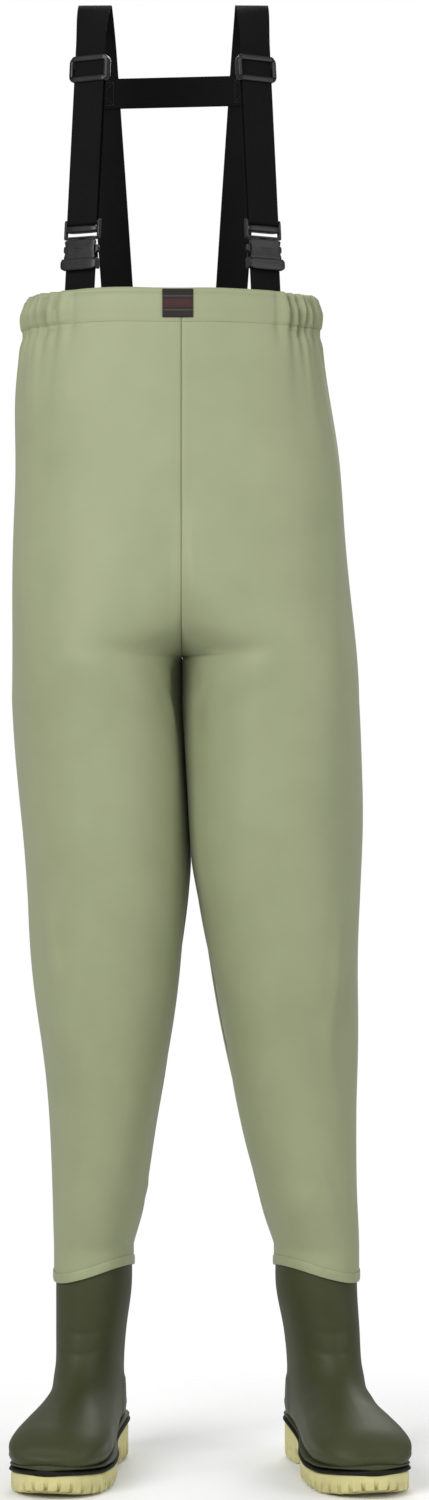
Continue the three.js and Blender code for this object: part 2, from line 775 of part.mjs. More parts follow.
function bucklePlug() {
  const inside = webWidth / 2 + linkGap;
  const top = plugBase + plugBaseHeight;
  const parts = [
    block([-inside - 1.5, -5, plugBase], [inside + 1.5, 5, top]),
    block([-inside - 1.5, -5, plugCover], [inside + 1.5, 5, plugCover + plugCoverHeight]),
    block([-4, -1.5, armTip + 1], [4, 1.5, plugBase + 1]),
    bar(plugBarRadius, inside + linkWall / 2, 0, plugBar),
  ];
  [-1, 1].forEach((s) => {
    const xs = [s * inside, s * (inside + linkWall)].sort((a, b) => a - b);
    parts.push(block([xs[0], -2.6, plugBase + 0.2], [xs[1], 2.6, plugBar + plugBarRadius + 1]));
  });
  return joined(parts);
}

// A spring arm with its press tab, outboard (1) or inboard (-1) in the strap's own X.
function buckleArm(way) {
  const outer = armReach + armWall / 2;
  const inner = armReach - armWall / 2;
  const rootTop = plugBase - 0.7;
  const tab = [
    [inner, armTip],
    [outer, armTip],
    [armCatch, armTip + 5],
    [armCatch, armTip + 11],
    [outer, armTip + 13],
    [outer, rootTop],
    [inner, rootTop],
  ].map(([x, z]) => new THREE.Vector2(way * x, z));
  const shape = new THREE.Shape(way < 0 ? tab.reverse() : tab);
  const g = new THREE.ExtrudeGeometry(shape, { depth: armDepth, bevelEnabled: false });
  const turn = new THREE.Matrix4().makeRotationX(Math.PI / 2);
  return solidOf(g, new THREE.Matrix4().makeTranslation(0, armDepth / 2, 0).multiply(turn));
}

// Short webbing stitched inside the hem and looped round the socket's bar.
function anchorWebbing(side) {
  const frame = frontFrame(side);
  const low = rimHeight - anchorDepth;
  const seat = strapSeat(side, -1, frontReach, low);
  const tailEnd = seat.at.addScaledVector(seat.inwards, anchorWall / 2 + seatClearance);
  const ring = new THREE.Shape();
  const inner = barRadius + fitGap;
  ring.absarc(0, socketBar, inner + webWall, 0, 2 * Math.PI);
  ring.holes.push(new THREE.Path().absarc(0, socketBar, inner, 0, 2 * Math.PI, true));
  const loop = alongX(ring, -webWidth / 2, webWidth / 2, 8).transform(frame.matrix.elements);
  const tail = band(
    [
      { at: tailEnd, across: seat.across },
      { at: frame.origin, across: frame.x },
      { at: place(frame, 0, 0, socketBar - inner - webWall / 2), across: frame.x },
    ],
    webWidth,
    anchorWall,
  );
  return tail.add(loop);
}

function backStrap(side) {
  const { start, end, along, across } = backLine(side);
  const flat = start.clone().addScaledVector(along, (untwistHeight - start.z) / along.z);
  const seat = strapSeat(side, 1, backReach, rimHeight - anchorDepth);
  const tailEnd = seat.at.addScaledVector(seat.inwards, webWall / 2 + seatClearance);
  const steps = 8;
  const untwisting = Array.from({ length: steps }, (_, i) => ({
    at: start.clone().lerp(flat, (i + 1) / steps),
    across: across.clone().lerp(vec(1, 0, 0), (i + 1) / steps),
  }));
  const stations = [
    { at: tailEnd, across: seat.across },
    { at: start, across },
    ...untwisting,
    { at: end, across: vec(1, 0, 0) },
  ];
  return band(stations, webWidth, webWall);
}

// The strap that joins the two back straps across the shoulder blades.
function crossStrap() {
  const ends = [-1, 1].map((side) => {
    const { start, along, outwards } = backLine(side);
    const height = crossHeight + (side * crossTilt) / 2;
    const at = start.clone().addScaledVector(along, (height - start.z) / along.z);
    return at.addScaledVector(outwards, -(webWall + fitGap));
  });
  const reach = webWidth * 0.4;
  const across = ends[1].clone().sub(ends[0]).normalize();
  const standing = backLine(1).along.clone().setX(0);
  const stations = [
    { at: ends[0].clone().addScaledVector(across, -reach), across: standing },
    { at: ends[1].clone().addScaledVector(across, reach), across: standing },
  ];
  return band(stations, webWidth * 0.92, webWall);
}

// ---------- Assembly ----------

const waders = new THREE.Group();
const add = (parent, name, solid, look) => parent.add(mesh(name, solid, look));

for (const [name, side] of [
  ["left", 1],
  ["right", -1],
]) {
  add(waders, `shell_${name}`, shell(side), "fabric");
  add(waders, `chest_elastic_${name}`, chestElastic(side), "elastic");
  add(waders, `leg_seam_tape_${name}`, legTape(side), "tape");
  add(waders, `weld_band_${name}`, weldBand(side), "weld");

  const boot = new THREE.Group();
  const ankle = halfSection(side, cuffHeight);
  const shift = vec(side * reachOf(side), 0, 0).applyAxisAngle(up, ankle.yaw);
  boot.position.set(middleAt(cuffHeight) + side * ankle.centre, centreYAt(cuffHeight), 0).add(shift);
  boot.rotation.z = ankle.yaw;
  boot.scale.x = side;
  add(boot, `boot_upper_${name}`, bootUpper(side), "boot");
  add(boot, `insole_${name}`, insole(side), "insole");
  add(boot, `rand_${name}`, rand(), "rand");
  add(boot, `outsole_${name}`, outsole(), "sole");
  waders.add(boot);

  add(waders, `back_strap_${name}`, backStrap(side), "webbing");
  add(waders, `anchor_webbing_${name}`, anchorWebbing(side), "webbing");
  add(waders, `front_webbing_${name}`, frontWebbing(side), "webbing");
  const strap = new THREE.Group();
  strap.applyMatrix4(frontFrame(side).matrix);
  add(strap, `return_webbing_${name}`, returnWebbing(), "webbing");
  add(strap, `slider_${name}`, slider(), "plastic");
  add(strap, `buckle_socket_${name}`, buckleSocket(), "plastic");
  add(strap, `buckle_plug_${name}`, bucklePlug(), "plastic");
  add(strap, `buckle_arm_outer_${name}`, buckleArm(side), "plastic");
  add(strap, `buckle_arm_inner_${name}`, buckleArm(-side), "plastic");
  waders.add(strap);
}
const facing = chestBelt(rimHeight - casingHeight, rimHeight, facingOffset, facingWall);
add(waders, "chest_facing", facing, "facing");
add(waders, "chest_label", chestLabel(), "label");
add(waders, "front_seam_tape", riseTape(-1), "tape");
add(waders, "back_seam_tape", riseTape(1), "tape");
add(waders, "cross_strap", crossStrap(), "webbing");

// The origin lies under the middle of the whole, on the floor.
const group = new THREE.Group();
group.add(waders);
group.updateMatrixWorld(true);
const extent = new THREE.Box3().setFromObject(waders, true);
const centre = extent.getCenter(vec(0, 0, 0));
waders.position.set(-centre.x, -centre.y, -extent.min.z);

export default group;
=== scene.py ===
# %% [markdown]
# # Chest waders
# Waders are trousers of coated fabric that reach the chest, welded to boots and hung from straps.
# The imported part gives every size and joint. This lesson works out a finer surface for each of its
# pieces, with numpy, and lets each one ride on the body that it belongs to.

import math

import bmesh
import bpy
import numpy as np
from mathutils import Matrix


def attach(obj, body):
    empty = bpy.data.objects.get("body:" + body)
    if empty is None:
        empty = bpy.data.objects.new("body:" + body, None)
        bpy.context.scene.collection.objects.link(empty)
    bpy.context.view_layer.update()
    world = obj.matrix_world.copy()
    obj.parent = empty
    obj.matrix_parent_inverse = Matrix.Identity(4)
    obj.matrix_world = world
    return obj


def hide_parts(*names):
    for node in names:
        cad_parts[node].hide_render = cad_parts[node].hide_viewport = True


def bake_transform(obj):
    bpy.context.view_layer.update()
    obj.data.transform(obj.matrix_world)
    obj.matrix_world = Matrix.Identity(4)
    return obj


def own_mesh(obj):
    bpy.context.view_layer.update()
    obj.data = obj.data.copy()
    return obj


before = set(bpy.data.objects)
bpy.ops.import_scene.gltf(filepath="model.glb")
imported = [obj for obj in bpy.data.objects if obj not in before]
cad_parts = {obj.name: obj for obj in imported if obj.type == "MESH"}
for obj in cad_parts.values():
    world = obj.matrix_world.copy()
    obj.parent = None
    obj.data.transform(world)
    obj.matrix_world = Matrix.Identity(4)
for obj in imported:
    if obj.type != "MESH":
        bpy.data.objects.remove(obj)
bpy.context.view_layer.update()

# %% [markdown]
# ## Tools
# A surface is a grid of points, worked out as whole arrays from two parameters. One helper turns
# grids into faces, one joins them to a mesh, and one carries a flat outline along a path, which
# is how webbing, frames and bars are made. All sizes are millimetres until the mesh is made.

# %% Curves and numbers
MM = 0.001
# From the wearer's own middle to the part's origin, which lies under the middle of the whole.
ORIGIN = np.array([5.9967, 34.0375, 0.0])
X_AXIS = np.array([1.0, 0.0, 0.0])


def unit(v):
    """A vector, or each vector of an array, over its length."""
    v = np.asarray(v, float)
    return v / np.linalg.norm(v, axis=-1, keepdims=True)


def ease(value, low=0.0, high=1.0):
    """0 below low, 1 above high, and 3t^2 - 2t^3 between them."""
    t = np.clip((np.asarray(value, float) - low) / (high - low), 0, 1)
    return t * t * (3 - 2 * t)


def bump(value, centre, width):
    """A bell: e to the power of minus the square of the distance over the width."""
    return np.exp(-(((value - centre) / width) ** 2))


def signed_power(v, n):
    """The size to a power, with the sign kept: the curve of a superellipse."""
    return np.sign(v) * np.abs(v) ** n


def through(stations, x):
    """A smooth curve through [x, value] stations: cubic, its slopes from each station's neighbours."""
    table = np.asarray(stations, float)
    xs, values = table[:, 0], table[:, 1:]
    slopes = np.empty_like(values)
    slopes[1:-1] = (values[2:] - values[:-2]) / (xs[2:] - xs[:-2])[:, None]
    slopes[0] = (values[1] - values[0]) / (xs[1] - xs[0])
    slopes[-1] = (values[-1] - values[-2]) / (xs[-1] - xs[-2])
    x = np.clip(np.asarray(x, float), xs[0], xs[-1])
    i = np.clip(np.searchsorted(xs, x, side="right") - 1, 0, len(xs) - 2)
    h = xs[i + 1] - xs[i]
    t = ((x - xs[i]) / h)[..., None]
    h = h[..., None]
    value = (
        values[i] * (1 + 2 * t) * (1 - t) ** 2
        + values[i + 1] * t * t * (3 - 2 * t)
        + h * (slopes[i] * t * (1 - t) ** 2 - slopes[i + 1] * t * t * (1 - t))
    )
    return value[..., 0] if values.shape[1] == 1 else value


def curve_through(points, count):
    """Count places spaced evenly along a smooth curve through a few points."""
    points = np.asarray(points, float)
    steps = np.linalg.norm(np.diff(points, axis=0), axis=1)
    along = np.concatenate([[0], np.cumsum(steps)])
    return through(np.column_stack([along, points]), np.linspace(0, along[-1], count))


print("a step a quarter of the way up", float(ease(0.25)))

# %% [markdown]
# ### From grids to pieces
# Every layer, strap and moulding is a skin, so each becomes a mesh of four-sided faces. Modifiers
# could build some of them, but a grid worked out in one go keeps each point where its formula puts
# it, and its UV runs in true lengths along the cloth.

# %% Grids, parts and pieces
def grid_part(grid, wrap_u=False, wrap_v=False, caps=False, uv=None):
    """Points, faces and a UV for each face corner, from a grid with rows along v and columns along u."""
    rows, cols = grid.shape[:2]
    r = np.arange(rows if wrap_v else rows - 1)[:, None]
    c = np.arange(cols if wrap_u else cols - 1)[None, :]
    r1, c1 = (r + 1) % rows, (c + 1) % cols
    corners = [r * cols + c, r * cols + c1, r1 * cols + c1, r1 * cols + c]
    faces = np.stack([np.broadcast_to(k, (len(r), c.shape[1])) for k in corners], -1).reshape(-1, 4)
    if uv is None:
        uv = np.zeros((rows + 1, cols + 1, 2))
    elif uv.shape[:2] == (rows, cols):
        uv = np.pad(uv, ((0, 1), (0, 1), (0, 0)), mode="edge")
    places = [(r, c), (r, c + 1), (r + 1, c + 1), (r + 1, c)]
    spread = [np.broadcast_to(uv[a, b], (len(r), c.shape[1], 2)) for a, b in places]
    corner_uv = np.stack(spread, 2).reshape(-1, 2)
    polygons = faces.tolist()
    if caps:
        polygons += [list(range(cols))[::-1], list(range((rows - 1) * cols, rows * cols))]
        corner_uv = np.concatenate([corner_uv, uv[0, :cols][::-1], uv[rows - 1, :cols]])
    return grid.reshape(-1, 3), polygons, corner_uv


def piece(name, parts, outward=True, sharp=40, merge=0.01):
    """One mesh from its parts, with doubled points merged and, on closed forms, faces turned outwards."""
    points, faces, uvs, start = [], [], [], 0
    for p, f, uv in parts:
        points.append(p)
        faces += [[k + start for k in face] for face in f] if start else f
        uvs.append(uv)
        start += len(p)
    mesh = bpy.data.meshes.new(name)
    mesh.from_pydata(((np.concatenate(points) + ORIGIN) * MM).tolist(), [], faces)
    layer = mesh.uv_layers.new(name="cloth")
    layer.data.foreach_set("uv", (np.concatenate(uvs) * MM).ravel())
    solid = bmesh.new()
    solid.from_mesh(mesh)
    bmesh.ops.remove_doubles(solid, verts=solid.verts, dist=merge * MM)
    bmesh.ops.dissolve_degenerate(solid, edges=solid.edges, dist=1e-6)
    if outward:
        bmesh.ops.recalc_face_normals(solid, faces=solid.faces)
    solid.to_mesh(mesh)
    solid.free()
    mesh.shade_smooth()
    mesh.set_sharp_from_angle(angle=math.radians(sharp))
    obj = bpy.data.objects.new(name, mesh)
    bpy.context.scene.collection.objects.link(obj)
    return obj


def place(obj, body, material, nodes=()):
    """Give a piece its body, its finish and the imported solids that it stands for."""
    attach(obj, body)
    obj.data.materials.append(material)
    if nodes:
        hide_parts(*nodes)
    return obj


def wall(obj, thickness):
    """Give an open sheet its thickness on the inner side."""
    solidify = obj.modifiers.new("wall", "SOLIDIFY")
    solidify.thickness = thickness * MM
    solidify.offset = -1
    return obj


def rounded_outline(width, height, radius, steps=4, across=1):
    """A closed rectangle with round corners, counter-clockwise, its two wide sides cut in across parts."""
    x, y = width / 2 - radius, height / 2 - radius
    turn = np.linspace(0, math.pi / 2, steps + 1)
    corner = radius * np.column_stack([np.cos(turn), np.sin(turn)])
    quarter = np.array([[0, -1], [1, 0]])
    top = np.linspace([x, y + radius], [-x, y + radius], across + 1)[1:-1]
    half = np.concatenate([corner + [x, y], top, corner @ quarter.T + [-x, y]])
    return np.concatenate([half, -half])


def sweep(path, across, outline, closed=False, scale=None):
    """An outline carried along a path: its first number runs across, its second out of the face."""
    path = np.asarray(path, float)
    ahead, behind = np.roll(path, -1, 0), np.roll(path, 1, 0)
    if not closed:
        ahead[-1], behind[0] = path[-1], path[0]
    along = unit(ahead - behind)
    across = np.broadcast_to(np.asarray(across, float), path.shape)
    side = unit(across - along * np.sum(along * across, -1, keepdims=True))
    face = np.cross(along, side)
    sized = outline[None] if scale is None else outline[None] * np.asarray(scale)[:, None]
    grid = path[:, None] + sized[..., :1] * side[:, None] + sized[..., 1:] * face[:, None]
    loop = np.vstack([outline, outline[:1]])
    round_way = np.concatenate([[0], np.cumsum(np.linalg.norm(np.diff(loop, axis=0), axis=1))])
    lengths = np.linalg.norm(np.diff(np.vstack([path, path[:1]]), axis=0), axis=1)
    far = np.concatenate([[0], np.cumsum(lengths)])
    uv = np.stack(np.broadcast_arrays(round_way[None], far[:, None]), -1)
    return grid_part(grid, wrap_u=True, wrap_v=closed, caps=not closed, uv=uv)


def repeated(grid, centres, along, normal):
    """A small closed grid copied to many places, each turned to its own along and normal directions."""
    along, normal = unit(along), unit(normal)
    third = np.cross(along, normal)
    axes = np.stack([along, normal, third], 1)
    points = np.einsum("rck,nkj->nrcj", grid, axes) + centres[:, None, None]
    one = grid_part(grid, wrap_u=True)
    faces = np.array(one[1])[None] + (np.arange(len(centres)) * len(one[0]))[:, None, None]
    uv = np.zeros((faces.shape[0] * faces.shape[1] * 4, 2))
    return points.reshape(-1, 3), faces.reshape(-1, 4).tolist(), uv


def capsule(length, radius, rows=6, cols=6):
    """A stitch: a rod along the first axis whose radius follows a half circle at both ends."""
    t = np.linspace(-1, 1, rows)[:, None]
    turn = np.linspace(0, 2 * math.pi, cols, endpoint=False)[None]
    r = radius * np.sqrt(np.clip(1 - np.abs(t) ** 3, 0, 1))
    return np.stack(np.broadcast_arrays(t * length / 2, r * np.cos(turn), r * np.sin(turn)), -1)


print("a stitch is a grid of", capsule(2.5, 0.34).shape[:2], "points")

# %% [markdown]
# ## Finishes
# The fabric is coated, so it is smooth with a soft sheen; the boots are moulded vinyl, the soles
# pale gum rubber, the straps woven and the buckles moulded. Effects that several finishes share are
# node groups: mottling, a fine grain, a weave in the piece's own UV with a mask of painted shade
# between its threads, wear on edges and dirt near the ground. A group gives only masks and heights,
# and each finish has its own Principled shader.

# %% Node helpers
def put(tree, kind, inputs=None, **settings):
    """A shader node with its settings, and each input linked to a socket or given a value."""
    node = tree.nodes.new("ShaderNode" + kind)
    for key, value in settings.items():
        setattr(node, key, value)
    for key, value in (inputs or {}).items():
        if isinstance(value, bpy.types.NodeSocket):
            tree.links.new(value, node.inputs[key])
        else:
            node.inputs[key].default_value = value
    return node


def maths(tree, operation, *values):
    """A Math node's result."""
    return put(tree, "Math", dict(enumerate(values)), operation=operation).outputs[0]


def blended(tree, share, first, second):
    """A mix of two colours."""
    node = put(tree, "Mix", {0: share, 6: first, 7: second}, data_type="RGBA")
    return node.outputs[2]


def ramp(tree, value, low, high, to_low=0.0, to_high=1.0):
    """A value moved from one range to another, and held at its ends."""
    inputs = {0: value, 1: low, 2: high, 3: to_low, 4: to_high}
    return put(tree, "MapRange", inputs, clamp=True).outputs[0]


def colour(r, g, b):
    """A linear colour from the 0 to 255 numbers that a colour picker gives."""
    c = np.array([r, g, b]) / 255
    linear = np.where(c <= 0.04045, c / 12.92, ((c + 0.055) / 1.055) ** 2.4)
    return (*[float(v) for v in linear], 1.0)


def new_group(name, inputs, outputs):
    """An empty node group with named sockets, and its two end nodes."""
    tree = bpy.data.node_groups.new(name, "ShaderNodeTree")
    for key, (kind, value) in inputs.items():
        socket = tree.interface.new_socket(name=key, in_out="INPUT", socket_type="NodeSocket" + kind)
        if value is not None:
            socket.default_value = value
    for key in outputs:
        tree.interface.new_socket(name=key, in_out="OUTPUT", socket_type="NodeSocketFloat")
    return tree, tree.nodes.new("NodeGroupInput").outputs, tree.nodes.new("NodeGroupOutput").inputs


print("linear share of a middle grey", round(colour(128, 128, 128)[0], 3))

# %% [markdown]
# ### Shared effects
# Dye and moulding are never quite even, cloth shows its threads, with painted shade between them, and plastic
# has a fine grain.
# Painted images could show this, but small node groups stay sharp near by and are shared.

# %% Shared effects
# Mottling: two sizes of noise, the coarse one stronger, stretched to fill 0 to 1.
mottle, given, result = new_group(
    "mottle", {"Vector": ("Vector", None), "Scale": ("Float", 8.0)}, ["Value"]
)
coarse = put(mottle, "TexNoise", {"Vector": given["Vector"], "Scale": given["Scale"], "Detail": 3.0})
finer = maths(mottle, "MULTIPLY", given["Scale"], 7.0)
fine = put(mottle, "TexNoise", {"Vector": given["Vector"], "Scale": finer, "Detail": 4.0})
coarse_share = maths(mottle, "MULTIPLY", coarse.outputs[0], 0.65)
both = maths(mottle, "MULTIPLY_ADD", fine.outputs[0], 0.35, coarse_share)
mottle.links.new(ramp(mottle, both, 0.35, 0.65), result["Value"])

# Grain: fine noise crossed with small cells, as on moulded plastic.
grain, given, result = new_group(
    "grain", {"Vector": ("Vector", None), "Scale": ("Float", 900.0)}, ["Height"]
)
speck = put(grain, "TexNoise", {"Vector": given["Vector"], "Scale": given["Scale"], "Detail": 2.0})
cells = put(grain, "TexVoronoi", {"Vector": given["Vector"], "Scale": given["Scale"]})
half_cells = maths(grain, "MULTIPLY", cells.outputs["Distance"], 0.5)
grain.links.new(maths(grain, "ADD", speck.outputs[0], half_cells), result["Height"])

# Weave: threads over and under each other, from the piece's own UV in metres. Pitch is the width
# of one thread and Slant leans the rows, for a twill or herringbone look. Its second output is a
# mask of painted shade: 1 where the threads dip, for a finish to paint a darker colour there.
weave, given, result = new_group(
    "weave", {"Pitch": ("Float", 0.0012), "Slant": ("Float", 0.0)}, ["Height", "Thread shade"]
)
cloth_uv = put(weave, "UVMap", uv_map="cloth").outputs[0]
apart = put(weave, "SeparateXYZ", {0: cloth_uv}).outputs
warp = maths(weave, "DIVIDE", apart[0], given["Pitch"])
leaning = maths(weave, "MULTIPLY", apart[0], given["Slant"])
weft = maths(weave, "DIVIDE", maths(weave, "ADD", apart[1], leaning), given["Pitch"])
waves = [maths(weave, "SINE", maths(weave, "MULTIPLY", way, math.pi)) for way in (warp, weft)]
crossing = maths(weave, "MULTIPLY", *(maths(weave, "ABSOLUTE", wave) for wave in waves))
weave.links.new(maths(weave, "POWER", crossing, 0.6), result["Height"])
# Painted shade: the mask is 1 in the low places between threads and 0 on their tops.
weave.links.new(ramp(weave, crossing, 0.0, 0.35, 1.0, 0.0), result["Thread shade"])

# Wear: where the surface is sharply curved outwards, broken up by noise.
wear, given, result = new_group(
    "edge wear", {"Vector": ("Vector", None), "Amount": ("Float", 1.0)}, ["Mask"]
)
edges = ramp(wear, wear.nodes.new("ShaderNodeNewGeometry").outputs["Pointiness"], 0.52, 0.6)
broken = put(wear, "TexNoise", {"Vector": given["Vector"], "Scale": 260.0, "Detail": 3.0})
worn = maths(wear, "MULTIPLY", edges, ramp(wear, broken.outputs[0], 0.4, 0.62))
wear.links.new(maths(wear, "MULTIPLY", worn, given["Amount"]), result["Mask"])

# Dirt: thicker towards the ground and in patches.
dirt, given, result = new_group(
    "ground dirt", {"Vector": ("Vector", None), "Top": ("Float", 0.1)}, ["Mask"]
)
height = put(dirt, "SeparateXYZ", {0: given["Vector"]}).outputs[2]
fading = ramp(dirt, maths(dirt, "DIVIDE", height, given["Top"]), 0.0, 1.0, 1.0, 0.0)
patches = put(dirt, "TexNoise", {"Vector": given["Vector"], "Scale": 45.0, "Detail": 5.0})
dirt.links.new(maths(dirt, "MULTIPLY", fading, ramp(dirt, patches.outputs[0], 0.38, 0.7)), result["Mask"])
print("groups", sorted(g.name for g in bpy.data.node_groups))

# %% [markdown]
# ### One finish
# Each material is one shader with two close colours, a roughness that follows the same patches, and
# a relief. They could be built one by one, but one helper keeps them to what a maker would choose.

# %% One finish
def finish(name, low, high, rough, scale=8.0, weave_pitch=0, slant=0.0, grain_scale=0, relief=0.2,
           distance=0.0004, worn=None, dusty=None, valley=None, **fixed):
    """A Principled material: two colours mixed by mottling, then painted shade in the weave's dips, wear and
    dirt over them.
    """
    material = bpy.data.materials.new(name)
    material.use_nodes = True
    tree = material.node_tree
    shader = tree.nodes["Principled BSDF"]
    where = tree.nodes.new("ShaderNodeTexCoord").outputs["Object"]

    def grouped(group, **values):
        node = put(tree, "Group", node_tree=group)
        for key, value in values.items():
            if isinstance(value, bpy.types.NodeSocket):
                tree.links.new(value, node.inputs[key])
            else:
                node.inputs[key].default_value = value
        return node.outputs

    patch = grouped(mottle, Vector=where, Scale=scale)["Value"]
    tint = blended(tree, patch, low, high)
    roughness = ramp(tree, patch, 0.0, 1.0, rough - 0.05, rough + 0.05)
    relief_height = None
    if weave_pitch:
        woven = grouped(weave, Pitch=weave_pitch, Slant=slant)
        relief_height = woven["Height"]
        # valley is the colour of painted shade, mixed in where the weave's threads dip.
        if valley:
            tint = blended(tree, woven["Thread shade"], tint, valley)
    if grain_scale:
        fine = grouped(grain, Vector=where, Scale=grain_scale)["Height"]
        relief_height = fine if relief_height is None else maths(tree, "ADD", relief_height, fine)
    if worn:
        mask = grouped(wear, Vector=where, Amount=1.0)["Mask"]
        tint = blended(tree, mask, tint, worn)
        roughness = maths(tree, "MULTIPLY_ADD", mask, 0.15, roughness)
    if dusty:
        mask = grouped(dirt, Vector=where, Top=dusty[1])["Mask"]
        tint = blended(tree, maths(tree, "MULTIPLY", mask, dusty[2]), tint, dusty[0])
        roughness = maths(tree, "MULTIPLY_ADD", mask, 0.2, roughness)
    tree.links.new(tint, shader.inputs["Base Color"])
    tree.links.new(roughness, shader.inputs["Roughness"])
    if relief_height is not None:
        raised = put(tree, "Bump", {"Strength": relief, "Distance": distance, "Height": relief_height})
        tree.links.new(raised.outputs[0], shader.inputs["Normal"])
    for key, value in fixed.items():
        shader.inputs[key.replace("_", " ")].default_value = value
    return material


fabric = finish(
    "coated fabric", colour(141, 147, 113), colour(150, 156, 122), 0.5, 3.0, weave_pitch=0.0007,
    relief=0.12, distance=0.0002, Specular_IOR_Level=0.3, Sheen_Weight=0.08, Sheen_Roughness=0.5,
)
# The facing's valley colour is painted shade between its threads.
fabric_inner = finish(
    "facing fabric", colour(128, 131, 104), colour(142, 146, 118), 0.7, 5.0, weave_pitch=0.0009,
    relief=0.3, distance=0.0003, valley=colour(116, 119, 92),
)
tape = finish(
    "seam tape", colour(170, 172, 150), colour(184, 186, 166), 0.38, 9.0, grain_scale=500, relief=0.1
)
# The elastic's valley colour is painted shade between its ribs.
elastic = finish(
    "ribbed elastic", colour(196, 196, 186), colour(216, 216, 208), 0.85, 30.0, weave_pitch=0.0018,
    relief=0.5, valley=colour(150, 150, 140),
)
weld = finish(
    "welded edge", colour(142, 148, 114), colour(152, 158, 124), 0.4, 14.0, grain_scale=700,
    relief=0.08, Specular_IOR_Level=0.35,
)
vinyl = finish(
    "boot vinyl", colour(55, 59, 36), colour(62, 66, 42), 0.5, 6.0, grain_scale=420, relief=0.1,
    dusty=(colour(92, 90, 66), 0.07, 0.2), Specular_IOR_Level=0.2,
)
rubber = finish(
    "rand rubber", colour(16, 17, 12), colour(24, 25, 19), 0.6, 20.0, grain_scale=600, relief=0.15,
    dusty=(colour(60, 58, 44), 0.07, 0.2), Specular_IOR_Level=0.15,
)
gum = finish(
    "gum sole", colour(190, 184, 124), colour(204, 198, 140), 0.55, 12.0, grain_scale=500, relief=0.15,
    dusty=(colour(120, 108, 72), 0.022, 0.7), worn=colour(228, 226, 176),
)
felt = finish(
    "insole felt", colour(78, 78, 68), colour(96, 96, 86), 0.92, 40.0, grain_scale=1500, relief=0.6
)
# The webbing's valley colour is painted shade between its threads.
webbing = finish(
    "black webbing", colour(13, 13, 13), colour(20, 20, 20), 0.8, 25.0, weave_pitch=0.0016, slant=0.5,
    relief=0.7, distance=0.0005, valley=colour(6, 6, 7), Specular_IOR_Level=0.1,
)
thread = finish(
    "sewing thread", colour(22, 22, 22), colour(34, 34, 34), 0.7, 200.0, grain_scale=3000, relief=0.3
)
hem_thread = finish(
    "hem thread", colour(122, 126, 96), colour(138, 142, 112), 0.7, 200.0, grain_scale=3000, relief=0.3
)
acetal = finish(
    "buckle plastic", colour(14, 14, 15), colour(22, 22, 23), 0.32, 60.0, grain_scale=1400,
    relief=0.12, worn=colour(70, 70, 70), Specular_IOR_Level=0.3,
)
print("boot colour", [round(c, 3) for c in colour(55, 59, 36)[:3]])

# %% [markdown]
# ## The coated-fabric halves
# Waders are cut as two mirrored halves, each a side of the chest and its leg, welded along the
# centre seam and hung from the hem. A half could be draped by a cloth simulation, but here its
# form is known at each height, so it is a ring function of angle and height, and the folds are
# added as small heights over that ring: gathers where the elastic pulls the hem in, a stitched
# casing, a rolled rim, the seam's valley, the pucker at the crotch and soft drag folds.

# %% The garment's form
# Heights of the rim, the crotch and the cuffs, and how far the curve of the crotch rises.
RIM, CROTCH, RISE, CUFF = 1341.0, 929.0, 190.0, 254.0
CASING = 38.0  # the depth of the hem
FACING_INNER = -4.6  # from the fabric's outer face to the facing's inner face
LAP = 229.0  # the mean height of the fabric's lower edge, on the boot
LEAN = 3.0  # how far the legs' inner sides bend round each other where they touch
SEAM_VALLEY = 0.4  # the depth of the valley along the centre seam
SEAM_HALF = 0.15  # from the middle line to each half
GATHER_PITCH = 10.5  # from one gather to the next, round the hem
LOWEST = 222  # the grid's lowest row, before it follows the lap on the boot
TOE_OUT = {1: 13.0, -1: 10.5}  # how far each foot turns out, in degrees
FOOT_REACH = {1: 11.0, -1: 6.0}  # how far each foot stands outwards of its leg
SIDES = (("left", 1), ("right", -1))

FIGURE = [  # height, half width, half depth, centre in Y
    [254, 174, 65, 6], [306, 174.5, 80, 6], [421, 176, 97, 4], [536, 185, 110, 3],
    [651, 191, 121, 3], [766, 198, 131, 4], [880, 199, 139, 6], [996, 196, 138, 5],
    [1111, 189, 129, 3], [1226, 180, 122, 1], [1341, 163, 116, 0],
]
LEG_GAP = [[254, 82], [306, 66], [421, 43.5], [536, 24], [651, 6], [700, 1], [929, 0.8]]
SWAY = [[254, 3], [651, 2], [880, 5], [1000, 0], [1111, -5], [1226, -12], [1341, -12]]
MIDDLE = np.array([[0, -6], [220, -10], [651, -23], [880, -36], [1441, -36]], float)


def middle_at(z):
    """The line between the halves: straight between its corners."""
    return np.interp(z, MIDDLE[:, 0], MIDDLE[:, 1])


def half_section(side, z):
    """One half at a height: half width, half depth, centre from the middle, centre in Y, roundness, turn."""
    width, depth, centre_y = np.moveaxis(through(FIGURE, z), -1, 0)
    outer = width + side * through(SWAY, z)
    rise = np.clip((z - CROTCH) / RISE, 0, 1)
    inner = through(LEG_GAP, z) - np.sin(rise * math.pi / 2) * (outer + 0.8)
    roundness = 2.1 + 0.3 * rise
    turn = side * math.radians(TOE_OUT[side]) * np.clip((421 - z) / (421 - CUFF), 0, 1)
    return (outer - inner) / 2, depth, (outer + inner) / 2, centre_y, roundness, turn


